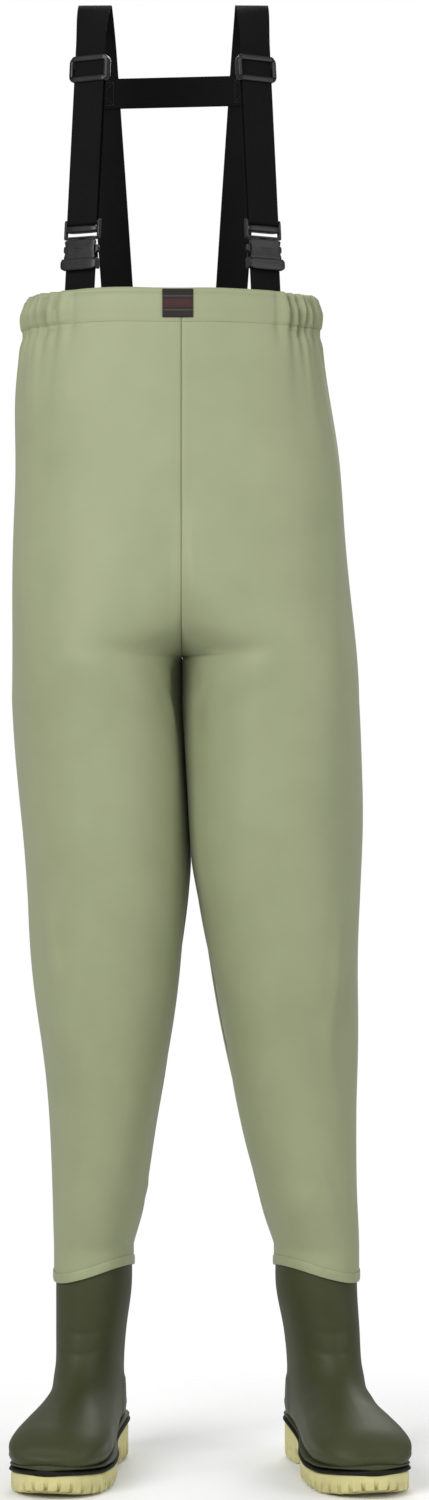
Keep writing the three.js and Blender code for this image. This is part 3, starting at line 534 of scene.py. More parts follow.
def half_point(side, angle, height, offset):
    """A point of a half: a superellipse at each height, moved out by an offset, turned, and put in place.

    The angle is 0 at the outer side, -pi/2 at the front, pi/2 at the back and pi inside the leg."""
    z = np.clip(height, CUFF, RIM)
    half, depth, centre, centre_y, roundness, turn = half_section(side, z)
    x = side * (half + offset) * signed_power(np.cos(angle), 2 / roundness)
    y = (depth + offset) * signed_power(np.sin(angle), 2 / roundness)
    touching = ease(z, 640, 720) * (1 - ease(z, 926, CROTCH)) * ease(-np.cos(angle), 0.75, 0.95)
    leaned = middle_at(z) + side * centre + touching * LEAN * np.sin(y / 24)
    return np.stack(
        [
            x * np.cos(turn) - y * np.sin(turn) + leaned,
            x * np.sin(turn) + y * np.cos(turn) + centre_y,
            height + 0 * x,
        ],
        -1,
    )


print("the left half at the knee", [round(float(v), 2) for v in half_section(1, 500.0)])

# %% [markdown]
# ### The folds
# Coated fabric is stiff, so it breaks into few and soft folds: gathers under the elastic, a roll at
# the hem, creases that drag from the crotch, and more at the knees and ankles. A simulation would
# give others each time. Bells and waves added to the ring put them where the seams make them.

# %% The folds
# Face (-1 front, 1 back), distance from the middle line, height, lean in degrees, length, width, rise.
DRAG_FOLDS = {
    1: [
        (-1, 20, 912, 52, 34, 5, 1.8), (-1, 30, 938, 78, 40, 7, 1.5), (-1, 22, 962, 100, 30, 6, 1.0),
        (-1, 14, 880, 18, 36, 5, 1.6), (-1, 60, 905, 62, 70, 16, 1.6), (-1, 158, 560, 6, 70, 7, 2.4),
        (-1, 150, 470, -8, 60, 9, 1.8), (-1, 80, 520, 12, 90, 16, 1.5), (-1, 176, 1010, 4, 120, 12, 2.0),
        (-1, 130, 330, -14, 46, 8, 1.6), (-1, 100, 300, 30, 34, 8, 1.2), (-1, 60, 760, 8, 130, 18, 1.8),
        (1, 24, 905, 55, 50, 8, 2.0), (1, 60, 930, 70, 80, 16, 2.0), (1, 100, 600, 70, 60, 12, 2.4),
        (1, 95, 560, 100, 56, 10, 2.2), (1, 80, 330, 70, 40, 9, 1.8),
    ],
    -1: [
        (-1, 16, 906, 46, 32, 5, 1.8), (-1, 28, 930, 70, 42, 7, 1.6), (-1, 18, 958, 96, 30, 6, 1.0),
        (-1, 12, 868, 14, 40, 5, 1.4), (-1, 56, 890, 58, 70, 16, 1.8), (-1, 160, 590, 5, 80, 7, 2.4),
        (-1, 148, 520, -10, 60, 9, 1.8), (-1, 90, 470, 10, 90, 15, 1.5), (-1, 172, 960, 3, 110, 12, 2.0),
        (-1, 135, 318, -12, 44, 8, 1.6), (-1, 96, 286, 32, 30, 8, 1.2), (-1, 70, 740, 6, 120, 18, 1.6),
        (1, 26, 912, 52, 50, 8, 2.0), (1, 64, 922, 68, 80, 16, 2.0), (1, 104, 585, 72, 60, 12, 2.4),
        (1, 98, 548, 104, 56, 10, 2.2), (1, 84, 322, 72, 40, 9, 1.8),
    ],
}


def drag_folds(side, distance, height, face):
    """Long bells, each with its own place, lean, length and width, on the front or on the back."""
    total = 0
    for on, x, z, lean, length, width, rise in DRAG_FOLDS[side]:
        c, s = math.cos(math.radians(lean)), math.sin(math.radians(lean))
        along = (height - z) * c + (distance - x) * s
        off = (distance - x) * c - (height - z) * s
        ridge = bump(off, 0, width) - 0.6 * bump(off, 1.7 * width, width)
        total = total + rise * bump(along, 0, length) * ridge * ease(face * on, 0.05, 0.4)
    return total


def folds(side, angle, height, valley=1.0):
    """The fabric's height over its plain form, in millimetres: a sum of bells, waves and steps."""
    face = np.sin(angle)
    z = height
    below = np.maximum(RIM - CASING - z, 0)
    # Gathers where the elastic draws the sides in. Their spacing wavers and they fade down the chest.
    round_way = 118 * signed_power(face, 0.83)
    gathered = ease(np.cos(angle), 0.55, 0.8) * ease(z, 1060, 1250)
    phase = 2 * math.pi * round_way / GATHER_PITCH + 1.7 * np.sin(round_way / 15 + z / 60 + side) + side
    pinched = 1.7 * np.abs(np.sin(phase / 2)) - 1.05 + 0.35 * np.sin(phase * 0.37 + z / 25)
    strength = np.where(z > RIM - CASING, 5.2 - 1.6 * ease(z, RIM - 9, RIM), 5.0 * np.exp(-below / 22))
    total = gathered * pinched * strength
    total = total + gathered * 1.9 * np.exp(-below / 120) * np.cos(phase / 3 + 0.4) * ease(below, 0, 14)
    # The casing is full between its stitches and the rim, and nipped in along them.
    stitched = z - (RIM - CASING)
    total = total + gathered * (2.4 * bump(stitched, CASING / 2, 12) - 2.6 * bump(stitched, -7, 8))
    seam_away = ease(np.abs(np.cos(angle)), 0.02, 0.1)
    total = total - (0.45 + 1.1 * gathered) * bump(stitched, 0, 1.7) + 0.6 * bump(stitched, CASING / 2, 11)
    total = total + 0.5 * np.cos(phase * 0.62) * np.exp(-below / 16) * ease(below, 0, 5) * seam_away
    total = total + 1.1 * bump(z, RIM - 3.5, 2.6)
    half, _, centre, _, roundness, _ = half_section(side, np.clip(z, CUFF, RIM))
    distance = centre + half * signed_power(np.cos(angle), 2 / roundness)
    # Slow waves and the drag folds, which die out at the middle and over the boot.
    soft = ease(z, 262, 330)
    inside = ease(distance, 0, 14)
    waves = 1.6 * np.sin(z / 61 + 1.9 * angle + side) + 1.3 * np.sin(z / 38 - 2.6 * angle + 2 * side)
    waves = waves + 1.5 * np.sin(3.1 * angle + z / 210 + 1.1 * side)
    total = total + waves * inside * ease(below, 10, 160) * 0.8
    total = total + drag_folds(side, distance, z, face) * inside
    total = total + 0.6 * ease(z, 690, 720) * (z <= CROTCH) * bump(distance, 0, 8)
    hollow = ease(z, 820, 895) * (1 - ease(z, 905, 932)) * ease(-face, 0.0, 0.35)
    total = total - 5.5 * hollow * bump(distance, 0, 16)
    total = total - valley * SEAM_VALLEY * bump(distance, 0, 2.2) * ease(z, CROTCH, CROTCH + 25)
    return total * soft


def lap_height(angle):
    """The fabric's lower edge on the boot: high inside the leg, lowest at the front of its outside."""
    return LAP - 7 * np.cos(angle) - 4 * np.cos(2 * (angle + 1))


def rim_wave(side, angle):
    """How far the rim rises and falls on its way round."""
    return 1.4 * np.sin(3.3 * angle + side) + 0.8 * np.sin(7.1 * angle + 2 * side) * np.cos(angle)


print("drag folds", {side: len(places) for side, places in DRAG_FOLDS.items()})

# %% [markdown]
# ### The two halves
# Each half is one cut sheet that closes round the leg and is open along the centre seam above the
# crotch. Its rows could be even, but they lie closer at the crotch and the hem, where it turns fast.

# %% The halves
ROWS = np.concatenate(
    [
        np.arange(0, 90, 5) + LOWEST, np.arange(312, 912, 7.5), [915, 920, 924, 927, 929],
        [929.6, 930.6, 932, 934, 936.5, 940, 944, 949, 955, 962], np.arange(969, 1262, 7.3),
        np.arange(1263, 1298, 3.5), np.arange(1298, 1339.5, 1.9), [1339.3, 1340.4, 1341],
    ]
)

# Each row's share in a mean of the rows round another one, by the distance between their heights.
SMOOTHER = np.exp(-(((ROWS[:, None] - ROWS[None]) / 14) ** 2)) * np.gradient(ROWS)[None]
SMOOTHER = SMOOTHER / SMOOTHER.sum(1, keepdims=True)


def half_grid(side, offset, cols=208):
    """The grid of one half, row by row: a closed ring for the leg, an arc from seam to seam above it."""
    z = ROWS[:, None]
    half, _, centre, _, roundness, _ = half_section(side, np.clip(z, CUFF, RIM))
    # Below the crotch a row is a whole ring. Above it, it ends where the ring meets the seam.
    share = np.clip((centre - SEAM_HALF) / (half - SEAM_VALLEY), -1, 1)
    cut = np.where(z <= CROTCH, math.pi, np.arccos(-signed_power(share, roundness / 2)))
    t = np.linspace(-1, 1, cols)[None]
    angle = cut * (t - 0.58 * np.sin(2 * math.pi * t) / (2 * math.pi))
    seam = (np.abs(t) == 1) & (z > CROTCH)
    height = z + (lap_height(angle) - LOWEST) * (1 - ease(z, LOWEST, 330))
    height = height + rim_wave(side, angle) * ease(z, 1240, RIM) * ease(np.abs(np.cos(angle)), 0, 0.3)
    rolled = -1.1 * ease(z, RIM - 2.2, RIM)
    points = half_point(side, angle, height, offset + rolled + folds(side, angle, z + 0 * angle))
    # Rows near the crotch take the mean of their neighbours, so the ring opens without a step.
    soft = ease(side * (points[..., 0] - middle_at(z)), 4, 44) * bump(z, CROTCH, 30)
    mean = np.einsum("ij,jkc->ikc", SMOOTHER, points)
    points[..., :2] += soft[..., None] * (mean - points)[..., :2]
    # No point crosses the middle line, and the seam's own points lie along it.
    middle = middle_at(z)
    held = side * np.maximum(side * (points[..., 0] - middle), SEAM_HALF) + middle
    at_seam = seam & (np.abs(held - middle) < 3)
    points[..., 0] = np.where(at_seam, side * SEAM_HALF + middle, held)
    return points, angle


shells = {}
for name, side in SIDES:
    grid, angle = half_grid(side, 0.0)
    round_way = np.cumsum(np.linalg.norm(np.diff(grid, axis=1, prepend=grid[:, :1]), axis=2), axis=1)
    uv = np.stack([round_way, grid[..., 2]], -1)
    part = grid_part(grid if side > 0 else grid[:, ::-1], uv=uv if side > 0 else uv[:, ::-1])
    shell = piece(f"shell_{name}", [part], outward=False, sharp=75, merge=0.05)
    place(wall(shell, 2.0), "garment", fabric, [f"shell_{name}"])
    shells[name] = (shell, float(round_way[:, -1].max()), float(np.ptp(grid[..., 2])))
    print(shell.name, len(shell.data.polygons), "faces, longest way round", round(shells[name][1]), "mm")

# %% [markdown]
# ## Inside the hem, the seams and the label
# The hem is a casing: a facing is welded inside it, with ribbed elastic at both sides that draws
# the gathers in. Tape is welded over the seams. Each layer uses the halves' own ring function with
# a smaller offset and the same folds, so the layers follow each other without touching.

# %% Layers on the halves
LAYER = -2.3  # from the fabric's outer face to what lies on its inner face
FACING = -3.6  # from the fabric's outer face to the facing's, which covers the elastic
WELD_HALF, WELD_RISE = 5.5, 0.55  # half the welded edge's width, and half its thickness


def layer_point(side, angle, height, offset, valley=1.0):
    """A point on or under the fabric: the ring function with the folds and the rim's wave."""
    lift = rim_wave(side, angle) * ease(height, 1240, RIM) * ease(np.abs(np.cos(angle)), 0, 0.3)
    z = height + 0 * angle
    return half_point(side, angle, z + lift, offset + folds(side, angle, z, valley))


def angle_at(side, distance, z, face):
    """The ring angle, on the front (-1) or the back (1), at a distance from the middle line."""
    half, _, centre, _, roundness, _ = half_section(side, z)
    share = np.clip((distance - centre) / half, -1, 1)
    return face * np.arccos(signed_power(share, roundness / 2))


def across_seam(distances, heights, face, offset, valley=1.0):
    """A grid over the centre seam: distances to the wearer's left are positive."""
    d, z = distances[None], heights[:, None]
    left = layer_point(1, angle_at(1, np.abs(d), z, face), z, offset, valley)
    right = layer_point(-1, angle_at(-1, np.abs(d), z, face), z, offset, valley)
    return np.where((d >= 0)[..., None], left, right)


def sheet_piece(name, grid, around, thickness, uv=None, closed=False, sharp=75):
    """A thin layer with its faces turned away from a point inside it, then given its thickness."""
    normal = np.cross(grid[:-1, 1:] - grid[:-1, :-1], grid[1:, :-1] - grid[:-1, :-1])
    if np.sum(normal * (grid[:-1, :-1] - np.asarray(around, float))) < 0:
        grid = grid[:, ::-1]
        uv = None if uv is None else uv[:, ::-1]
    return wall(piece(name, [grid_part(grid, wrap_u=closed, uv=uv)], outward=False, sharp=sharp), thickness)


def grid_uv(grid):
    """The distances along the rows and up the columns of a grid."""
    u = np.cumsum(np.linalg.norm(np.diff(grid, axis=1, prepend=grid[:, :1]), axis=2), axis=1)
    v = np.cumsum(np.linalg.norm(np.diff(grid, axis=0, prepend=grid[:1]), axis=2), axis=0)
    return np.stack([u, v], -1)


print("facing", FACING, "mm and the other layers", LAYER, "mm from the outer face")

# %% [markdown]
# ### Facing, elastic, tapes and welds
# The facing covers the elastic, the tapes keep the seams dry, and a welded edge joins the fabric to
# the boot. Each could be projected on the halves. Taken from their own function at an offset, each
# keeps an exact gap.

# %% Facing, elastic, tapes and weld
CHEST = (-36, 0, 1200)
turn_round = np.linspace(0, 2 * math.pi, 520, endpoint=False)[None]
turn_round = turn_round - 0.3 * np.sin(2 * turn_round + math.pi)
heights = np.linspace(RIM - CASING, RIM - 0.4, 16)[:, None]
on_left = np.cos(turn_round) >= 0
own_angle = np.arcsin(np.sin(turn_round))
left_ring = layer_point(1, own_angle, heights, FACING)
right_ring = layer_point(-1, own_angle, heights, FACING)
facing_grid = np.where(on_left[..., None], left_ring, right_ring)
facing = sheet_piece("chest_facing", facing_grid, CHEST, 1.0, grid_uv(facing_grid), closed=True)
place(facing, "garment", fabric_inner, ["chest_facing"])

for name, side in SIDES:
    angle = np.linspace(-0.7, 0.7, 150)[None]
    grid = layer_point(side, angle, np.linspace(RIM - 32, RIM - 6, 14)[:, None], LAYER)
    band = sheet_piece(f"chest_elastic_{name}", grid, CHEST, 1.0, grid_uv(grid))
    place(band, "garment", elastic, [f"chest_elastic_{name}"])

    z = np.linspace(257, 869, 110)[:, None]
    depth = half_section(side, z)[1]
    grid = layer_point(side, math.pi + np.linspace(-10, 10, 9)[None] / depth, z, LAYER)
    leg = (middle_at(560) + side * half_section(side, 560.0)[2], 3, 560)
    leg_tape = sheet_piece(f"leg_seam_tape_{name}", grid, leg, 0.8, grid_uv(grid))
    place(leg_tape, "garment", tape, [f"leg_seam_tape_{name}"])

    turn = np.linspace(0, 2 * math.pi, 24, endpoint=False)
    edge = np.stack([WELD_HALF * np.cos(turn), WELD_RISE * np.sin(turn)], -1)
    angle = np.linspace(0, 2 * math.pi, 180, endpoint=False)[None]
    lift = edge[:, :1] + 0 * angle
    grid = half_point(side, angle + 0 * lift, lap_height(angle) + lift, WELD_RISE + 0.1 + edge[:, 1:])
    weld_band = piece(f"weld_band_{name}", [grid_part(grid, wrap_u=True, wrap_v=True)], sharp=60)
    place(weld_band, "garment", weld, [f"weld_band_{name}"])

for name, face in (("front", -1), ("back", 1)):
    grid = across_seam(np.linspace(-10, 10, 11), np.linspace(989, RIM - CASING - 2, 60), face, LAYER)
    rise_tape = sheet_piece(f"{name}_seam_tape", grid, CHEST, 0.8, grid_uv(grid))
    place(rise_tape, "garment", tape, [f"{name}_seam_tape"])

# %% [markdown]
# ### Stitches
# One row of thread holds the hem's casing. Dashes could be drawn in the colour, but small rods with
# rounded ends, laid at an even pitch, catch the light as thread does.

# %% Stitches
def stitch_row(corners, normal, pitch=3.4, length=2.5, radius=0.34):
    """Stitches spaced evenly along a line of points, lying in a surface with this normal."""
    corners = np.asarray(corners, float)
    far = np.concatenate([[0], np.cumsum(np.linalg.norm(np.diff(corners, axis=0), axis=1))])
    places = np.arange(pitch / 2, far[-1], pitch)
    ends = [
        np.stack([np.interp(places + d, far, corners[:, k]) for k in range(3)], -1)
        for d in (-0.4, 0.4)
    ]
    normals = np.broadcast_to(np.asarray(normal, float), corners.shape)
    turned = np.stack([np.interp(places, far, normals[:, k]) for k in range(3)], -1)
    along = unit(ends[1] - ends[0])
    turned = unit(turned - along * np.sum(along * turned, -1, keepdims=True))
    return repeated(capsule(length, radius), (ends[0] + ends[1]) / 2, along, turned)


rows = []
ring_angle = np.linspace(-math.pi / 2 + 0.004, math.pi / 2 - 0.004, 900)
casing_line = np.full_like(ring_angle, RIM - CASING)
for side in (1, -1):
    line, above = (layer_point(side, ring_angle, casing_line, offset) for offset in (0.25, 1.25))
    rows.append(stitch_row(line, above - line, pitch=3.6, length=2.7, radius=0.36))
hem_stitches = place(piece("hem_stitching", rows, sharp=80), "garment", hem_thread)
print("hem stitches", len(hem_stitches.data.polygons) // 30)

# %% [markdown]
# ### The label
# A small woven patch is sewn over the seam under the rim. Its stripes are plain bands in its own UV,
# with no lettering.

# %% Label
label_across, label_up = np.linspace(-21, 13, 35), np.linspace(RIM - 33.5, RIM - 1.5, 33)
label_grid = across_seam(label_across, label_up, -1, 1.4, valley=0.0)
label_piece = sheet_piece("chest_label", label_grid, CHEST, 0.8, grid_uv(label_grid), sharp=50)
woven = finish(
    "label weave", colour(22, 17, 15), colour(34, 27, 24), 0.8, 300.0, weave_pitch=0.0005, relief=0.5,
    distance=0.0002,
)
tree = woven.node_tree
shader = tree.nodes["Principled BSDF"]
up_label = put(tree, "SeparateXYZ", {0: put(tree, "UVMap", uv_map="cloth").outputs[0]}).outputs[1]
stripe = shader.inputs["Base Color"].links[0].from_socket
dark_red, straw = colour(60, 26, 28), colour(66, 63, 54)
# Each stripe's lower and upper edge, in metres up the label, and its colour.
for low, high, tint in ((0.0115, 0.0205, dark_red), (0.0075, 0.0088, straw), (0.0232, 0.0245, straw)):
    over, under = maths(tree, "GREATER_THAN", up_label, low), maths(tree, "LESS_THAN", up_label, high)
    stripe = blended(tree, maths(tree, "MULTIPLY", over, under), stripe, tint)
tree.links.new(stripe, shader.inputs["Base Color"])
place(label_piece, "garment", woven, ["chest_label"])
inset = np.array([[-19.5, -32], [-19.5, -3], [11.5, -3], [11.5, -32], [-19.5, -32]], float)
outline = np.concatenate([np.linspace(a, b, 40) for a, b in zip(inset[:-1], inset[1:])])
edge_side = np.where(outline[:, 0] >= 0, 1, -1)
edge_line = np.zeros((len(outline), 3))
for side in (1, -1):
    d, z = np.abs(outline[:, 0]), RIM + outline[:, 1]
    points = layer_point(side, angle_at(side, d, z, -1), z, 1.5, valley=0.0)
    edge_line = np.where((edge_side == side)[:, None], points, edge_line)
label_stitches = piece("label_stitching", [stitch_row(edge_line, (0, -1, 0), 2.2, 1.6, 0.22)], sharp=80)
place(label_stitches, "garment", thread)
print("label stitches", len(label_stitches.data.polygons) // 30)

# %% [markdown]
# ## Boots
# A wader boot is moulded vinyl. Its rings fan round the instep, so each ring runs from a point on the
# instep line to a point on the heel and sole line, and its section is rounder on top than where it
# meets the sole. The outsole, the rand and the insole are slabs whose outline is the sole's plan.

# %% Boot rings
SOLE_TOP = [[-86, 47], [-30, 43], [15, 33], [70, 25], [120, 23], [165, 24], [198, 27], [212, 28.5], [226, 30]]
BOOT_LIFT = 4.7


def sole_top(y):
    """The outsole's upper face from heel to toe."""
    table = np.array(SOLE_TOP, float)
    return np.interp(-np.asarray(y, float), table[:, 0], table[:, 1])


def boot_rows(side):
    """Instep y and z, sole y and z, half width, squareness at the sole and middle across, to the toe."""
    half, depth = (float(v) - 2.4 for v in half_section(side, CUFF)[:2])

    def on(y):
        return [y, float(sole_top(y)) + BOOT_LIFT]

    inward = -FOOT_REACH[side]
    return np.array(
        [
            [-depth, 252, depth, 252, half, 2.1, inward],
            [-depth, 205, depth, 205, half, 2.1, inward],
            [-depth + 1, 160, depth + 2, 150, half - 3.5, 2.1, inward * 0.4],
            [-depth - 4, 131, depth + 9, 104, half - 5.5, 2.2, inward * 0.1],
            [-depth - 14, 117, depth + 13, 76, half - 5, 2.6, 0],
            [-depth - 24, 109, *on(66), half - 5, 3.4, 0],
            [-depth - 36, 102, *on(30), half - 4, 4, 0], [-115, 95, *on(-15), 43, 4, 0],
            [-140, 87, *on(-70), 50, 4, 0], [-165, 79, *on(-120), 54, 4, 0],
            [-190, 70, *on(-165), 52, 3.6, 0], [-206, 59, *on(-198), 41, 3, 0],
            [-215, 47, *on(-212), 22, 2.4, 0], [-218, 43, -217.4, 38, 4, 2, 0],
        ]
    )


def boot_place(side, points):
    """From the boot's own frame, toe towards -Y, to its place under the leg."""
    _, _, centre, centre_y, _, turn = half_section(side, np.float64(CUFF))
    x, y = side * (points[..., 0] + FOOT_REACH[side]), points[..., 1]
    return np.stack(
        [
            x * np.cos(turn) - y * np.sin(turn) + middle_at(CUFF) + side * centre,
            x * np.sin(turn) + y * np.cos(turn) + centre_y,
            points[..., 2],
        ],
        -1,
    )


def fan_rings(rows, count, grow, cols=112):
    """Rings through the rows: a superellipse between the instep point and the sole point of each."""
    middle_line = np.column_stack([rows[:, 0] + rows[:, 2], rows[:, 1] + rows[:, 3]]) / 2
    steps = np.linalg.norm(np.diff(middle_line, axis=0), axis=1)
    along = np.concatenate([[0], np.cumsum(steps)])
    at = through(np.column_stack([along, rows]), np.linspace(0, along[-1], count))[:, None]
    angle = np.linspace(0, 2 * math.pi, cols, endpoint=False)[None]
    c, s = np.cos(angle), np.sin(angle)
    n = np.where(c > 0, at[..., 5], 2.1)
    centre = np.stack([(at[..., 0] + at[..., 2]) / 2, (at[..., 1] + at[..., 3]) / 2], -1)
    reach = np.stack([(at[..., 2] - at[..., 0]) / 2, (at[..., 3] - at[..., 1]) / 2], -1)
    length = np.linalg.norm(reach, axis=-1)
    plain = centre + reach * signed_power(c, 2 / n)[..., None]
    g = grow(plain[..., 0], plain[..., 1], c, s) if callable(grow) else grow
    yz = centre + reach / length[..., None] * ((length + g) * signed_power(c, 2 / n))[..., None]
    x = at[..., 6] + (at[..., 4] + g) * signed_power(s, 2 / n)
    return np.stack([x, yz[..., 0], yz[..., 1]], -1)


def moulded_detail(y, z, c, s):
    """Relief of the vinyl: toe bumper, heel counter with its ledge, mould line, ankle creases."""
    above = z - sole_top(y)
    bumper = ease(-y, 110, 150) * (1 - ease(above, 17.5, 20.5)) * 1.1
    counter = 1.1 * ease(y, 12, 16) * (1 - ease(z, 96, 98.5))
    ledge = 1.8 * bump(z, 66, 3.2) * ease(y, 40, 58)
    mould = 0.35 * bump(s, 0, 0.018) * ease(z, 60, 90)
    crease = -1.2 * bump(z - 0.35 * y, 158, 4.5) - 0.9 * bump(z - 0.3 * y, 178, 4)
    crease = crease * ease(-c, 0.1, 0.7) * ease(-y, 40, 62) * (1 - ease(-y, 96, 120))
    return bumper + counter + ledge + mould + crease


print("rows of a boot", len(boot_rows(1)), "and sole top at the ankle", round(float(sole_top(0)), 1))

# %% [markdown]
# ### Outsole, rand and insole
# These are flat mouldings that share the foot's plan. They could be cut from blocks, but rings across
# the foot, between a lower and an upper height, take the arch, the toe spring and the treads from
# the height's own function.

# %% Slabs along the sole
PLAN = [
    [82, 0], [80.5, 9], [76, 20], [60, 33], [38, 37], [-20, 36.5], [-75, 49],
    [-130, 55], [-175, 50], [-205, 33], [-219, 15], [-221.4, 7], [-222, 0],
]
UNDER = [[-86, 0], [-6, 0], [-2, 19], [46, 9], [62, 0], [168, 0], [198, 4], [226, 13]]
INSOLE_PLAN = [
    [58, 0], [54, 16], [42, 27], [15, 32], [-20, 31], [-70, 38],
    [-120, 45], [-142, 40], [-156, 22], [-160, 0],
]


def plan_curve(plan, count):
    """The plan's half outline, smooth and evenly spaced, and its outward normal."""
    line = curve_through(plan, count)
    y, x = line[:, 0], np.maximum(line[:, 1], 0)
    x[[0, -1]] = 0
    dy, dx = np.gradient(y), np.gradient(x)
    normal = unit(np.stack([-dy, dx], -1))
    normal[[0, -1]] = [[0, 1], [0, -1]]
    steps = np.linalg.norm(np.diff(line, axis=0), axis=1)
    return x, y, normal, np.concatenate([[0], np.cumsum(steps)])


def slab(plan, count, lower, upper, squareness, cols=44, lip=0.0, notch=None):
    """Rings across the sole: a superellipse as wide as the plan, between a lower and an upper height.

    A notch pushes the lower edge in along the plan's normal, for treads that open at the side."""
    x, y, normal, far = plan_curve(plan, count)
    angle = np.linspace(0, 2 * math.pi, cols, endpoint=False)[None]
    c, s = signed_power(np.cos(angle), 2 / squareness), signed_power(np.sin(angle), 2 / squareness)
    push = lip + 0 * c * x[:, None]
    if notch is not None:
        push = push - notch(far, y)[:, None] * (1 - ease(s, -0.75, -0.35))
    ys = y[:, None] + normal[:, 1:] * push * np.abs(c)
    xs = (x[:, None] + normal[:, :1] * push) * c
    low, high = lower(ys), upper(ys)
    return np.stack([xs, ys, (low + high) / 2 + (high - low) / 2 * s], -1)


def grooves(y, places, width=5.0, depth=4.0):
    """Treads cut across the sole: a flat-bottomed channel at each place."""
    gap = np.min(np.abs(np.asarray(y)[..., None] - np.array(places, float)), -1)
    return depth * (1 - ease(gap, width / 2 - 0.7, width / 2))


LUG_PITCH = 15.0
TREADS = [*np.arange(-76, -165, -18.0), *np.arange(24, 64, 18.0)]


def tread_under(y):
    """The sole's lower face: heel block, raised arch, flat forefoot, toe spring and treads."""
    table = np.array(UNDER, float)
    return np.interp(-y, table[:, 0], table[:, 1]) + grooves(y, TREADS)


def tread_notch(far, y):
    """Notches between the lugs, one at each lug pitch round the edge, left out under the arch."""
    phase = np.abs((far / LUG_PITCH) % 1 - 0.5) * LUG_PITCH
    return 5.0 * (1 - ease(phase, 1.6, 2.6)) * np.where((y < 4) & (y > -60), 0, 1)


print("half way round the sole", round(float(plan_curve(PLAN, 200)[3][-1])), "mm,", len(TREADS), "treads")

# %% [markdown]
# ### The boots
# A boot is a moulded vinyl shaft with an outsole, a rand round the joint and a felt insole. It could
# be sculpted, but rings between the instep and the sole follow the foot's own sections, and a
# smaller set of them gives the space inside.

# %% The boots
def above_sole(rise):
    """A height that runs along the outsole's upper face, this far over it."""
    return lambda y: sole_top(y) + rise


for name, side in SIDES:
    rows = boot_rows(side)
    outer = fan_rings(rows, 150, moulded_detail)
    cavity = fan_rings(rows[:-2], 70, -4.0)
    forms = {
        "boot_upper": [
            np.concatenate([cavity[::-1], outer]),
            slab(PLAN, 200, above_sole(3.6), above_sole(9.6), 2.6, cols=40, lip=1.2),
        ],
        "outsole": [slab(PLAN, 420, tread_under, sole_top, 9, notch=tread_notch)],
        "rand": [slab(PLAN, 200, above_sole(-2.6), above_sole(4.2), 3.0, cols=40, lip=2.2)],
        "insole": [slab(INSOLE_PLAN, 90, above_sole(9.9), above_sole(13.7), 4, cols=32)],
    }
    looks = {
        "boot_upper": ("boot_pvc", vinyl, 50), "outsole": ("outsole", gum, 42),
        "rand": ("rand", rubber, 60), "insole": ("insole", felt, 60),
    }
    for part_name, grids in forms.items():
        slot, material, sharp = looks[part_name]
        parts = [grid_part(boot_place(side, grid), wrap_u=True, caps=True) for grid in grids]
        made = piece(f"{part_name}_{name}", parts, sharp=sharp)
        place(made, "garment", material, [f"{part_name}_{name}"])
        print(made.name, len(made.data.polygons), "faces")

# %% [markdown]
# ## Harness
# Webbing is a flat woven band, so each strap is a thin rounded outline carried along a path. The
# front webbing starts round the plug's bar, runs straight up through the slider, over the shoulder
# and down on to the back strap, where it is sewn. Flat straps are swept, not simulated: they are
# stiff along their length and keep the shape that their path gives them.

# %% Strap frames
HARNESS = -46.0  # the middle between the straps, from the wearer's own
WEB, WEB_WALL = 38.0, 1.5
FIT = 0.3  # between pieces that lie on each other
SEAT_GAP = 0.8
FRONT_REACH, BACK_REACH = 106, 66  # each strap from the harness's middle, at the rim
TAIL = 48  # how far the straps reach down inside the rim
# Each from the harness's middle, in Y and in height: the front strap's shoulder, the crown where it
# turns over, and the back strap's upper end.
SHOULDER, CROWN, BACK_TOP = (92, -60, 1620), (89.5, -2, 1677), (85, 64, 1622)
LAPPED = 60  # how far the front strap lies on the back one
FLAT_FROM = 1558  # the back strap lies square from this height up
STRAND = rounded_outline(WEB, WEB_WALL, 0.68, steps=3, across=14)


def strap_seat(side, face, reach, z):
    """Where a strap lies on the facing: the chord of its width on the ring, found in a few steps."""
    x = HARNESS + side * reach

    def edge(at):
        half, depth, _, centre_y, roundness, _ = half_section(1 if at > middle_at(z) else -1, z)
        share = abs(at - middle_at(z)) / (half + FACING_INNER)
        y = (depth + FACING_INNER) * (1 - share**roundness) ** (1 / roundness)
        return np.array([at, centre_y + face * y, z], float)

    across = X_AXIS
    for _ in range(4):
        half = across[0] * WEB / 2
        across = unit(edge(x + half) - edge(x - half))
    half = across[0] * WEB / 2
    inwards = unit(np.array([0.0, -face, 0.0]) + face * across[1] * across)
    return (edge(x + half) + edge(x - half)) / 2, across, inwards


def front_frame(side):
    """The front strap's frame at the rim: X across it, -Y outwards, Z along it, and its length."""
    at, across, inwards = strap_seat(side, -1, FRONT_REACH, np.float64(RIM))
    origin = at + inwards * (WEB_WALL + SEAT_GAP)
    shoulder = np.array([HARNESS + side * SHOULDER[0], *SHOULDER[1:]], float)
    z = unit(shoulder - origin)
    y = unit(np.cross(z, across))
    return origin, np.stack([np.cross(y, z), y, z]), np.linalg.norm(shoulder - origin)


def back_line(side):
    """The back strap's ends, direction, outward side and its width's direction at the rim."""
    at, across, inwards = strap_seat(side, 1, BACK_REACH, np.float64(RIM))
    start = at + inwards * (WEB_WALL / 2 + SEAT_GAP)
    end = np.array([HARNESS + side * BACK_TOP[0], BACK_TOP[1], BACK_TOP[2]], float)
    along = unit(end - start)
    return start, end, along, unit(np.cross(along, X_AXIS)), across


def bezier(a, b, c, d, count):
    """A cubic curve between a and d, leaving towards b and arriving from c."""
    t = np.linspace(0, 1, count)[:, None]
    return a * (1 - t) ** 3 + 3 * b * t * (1 - t) ** 2 + 3 * c * t * t * (1 - t) + d * t**3


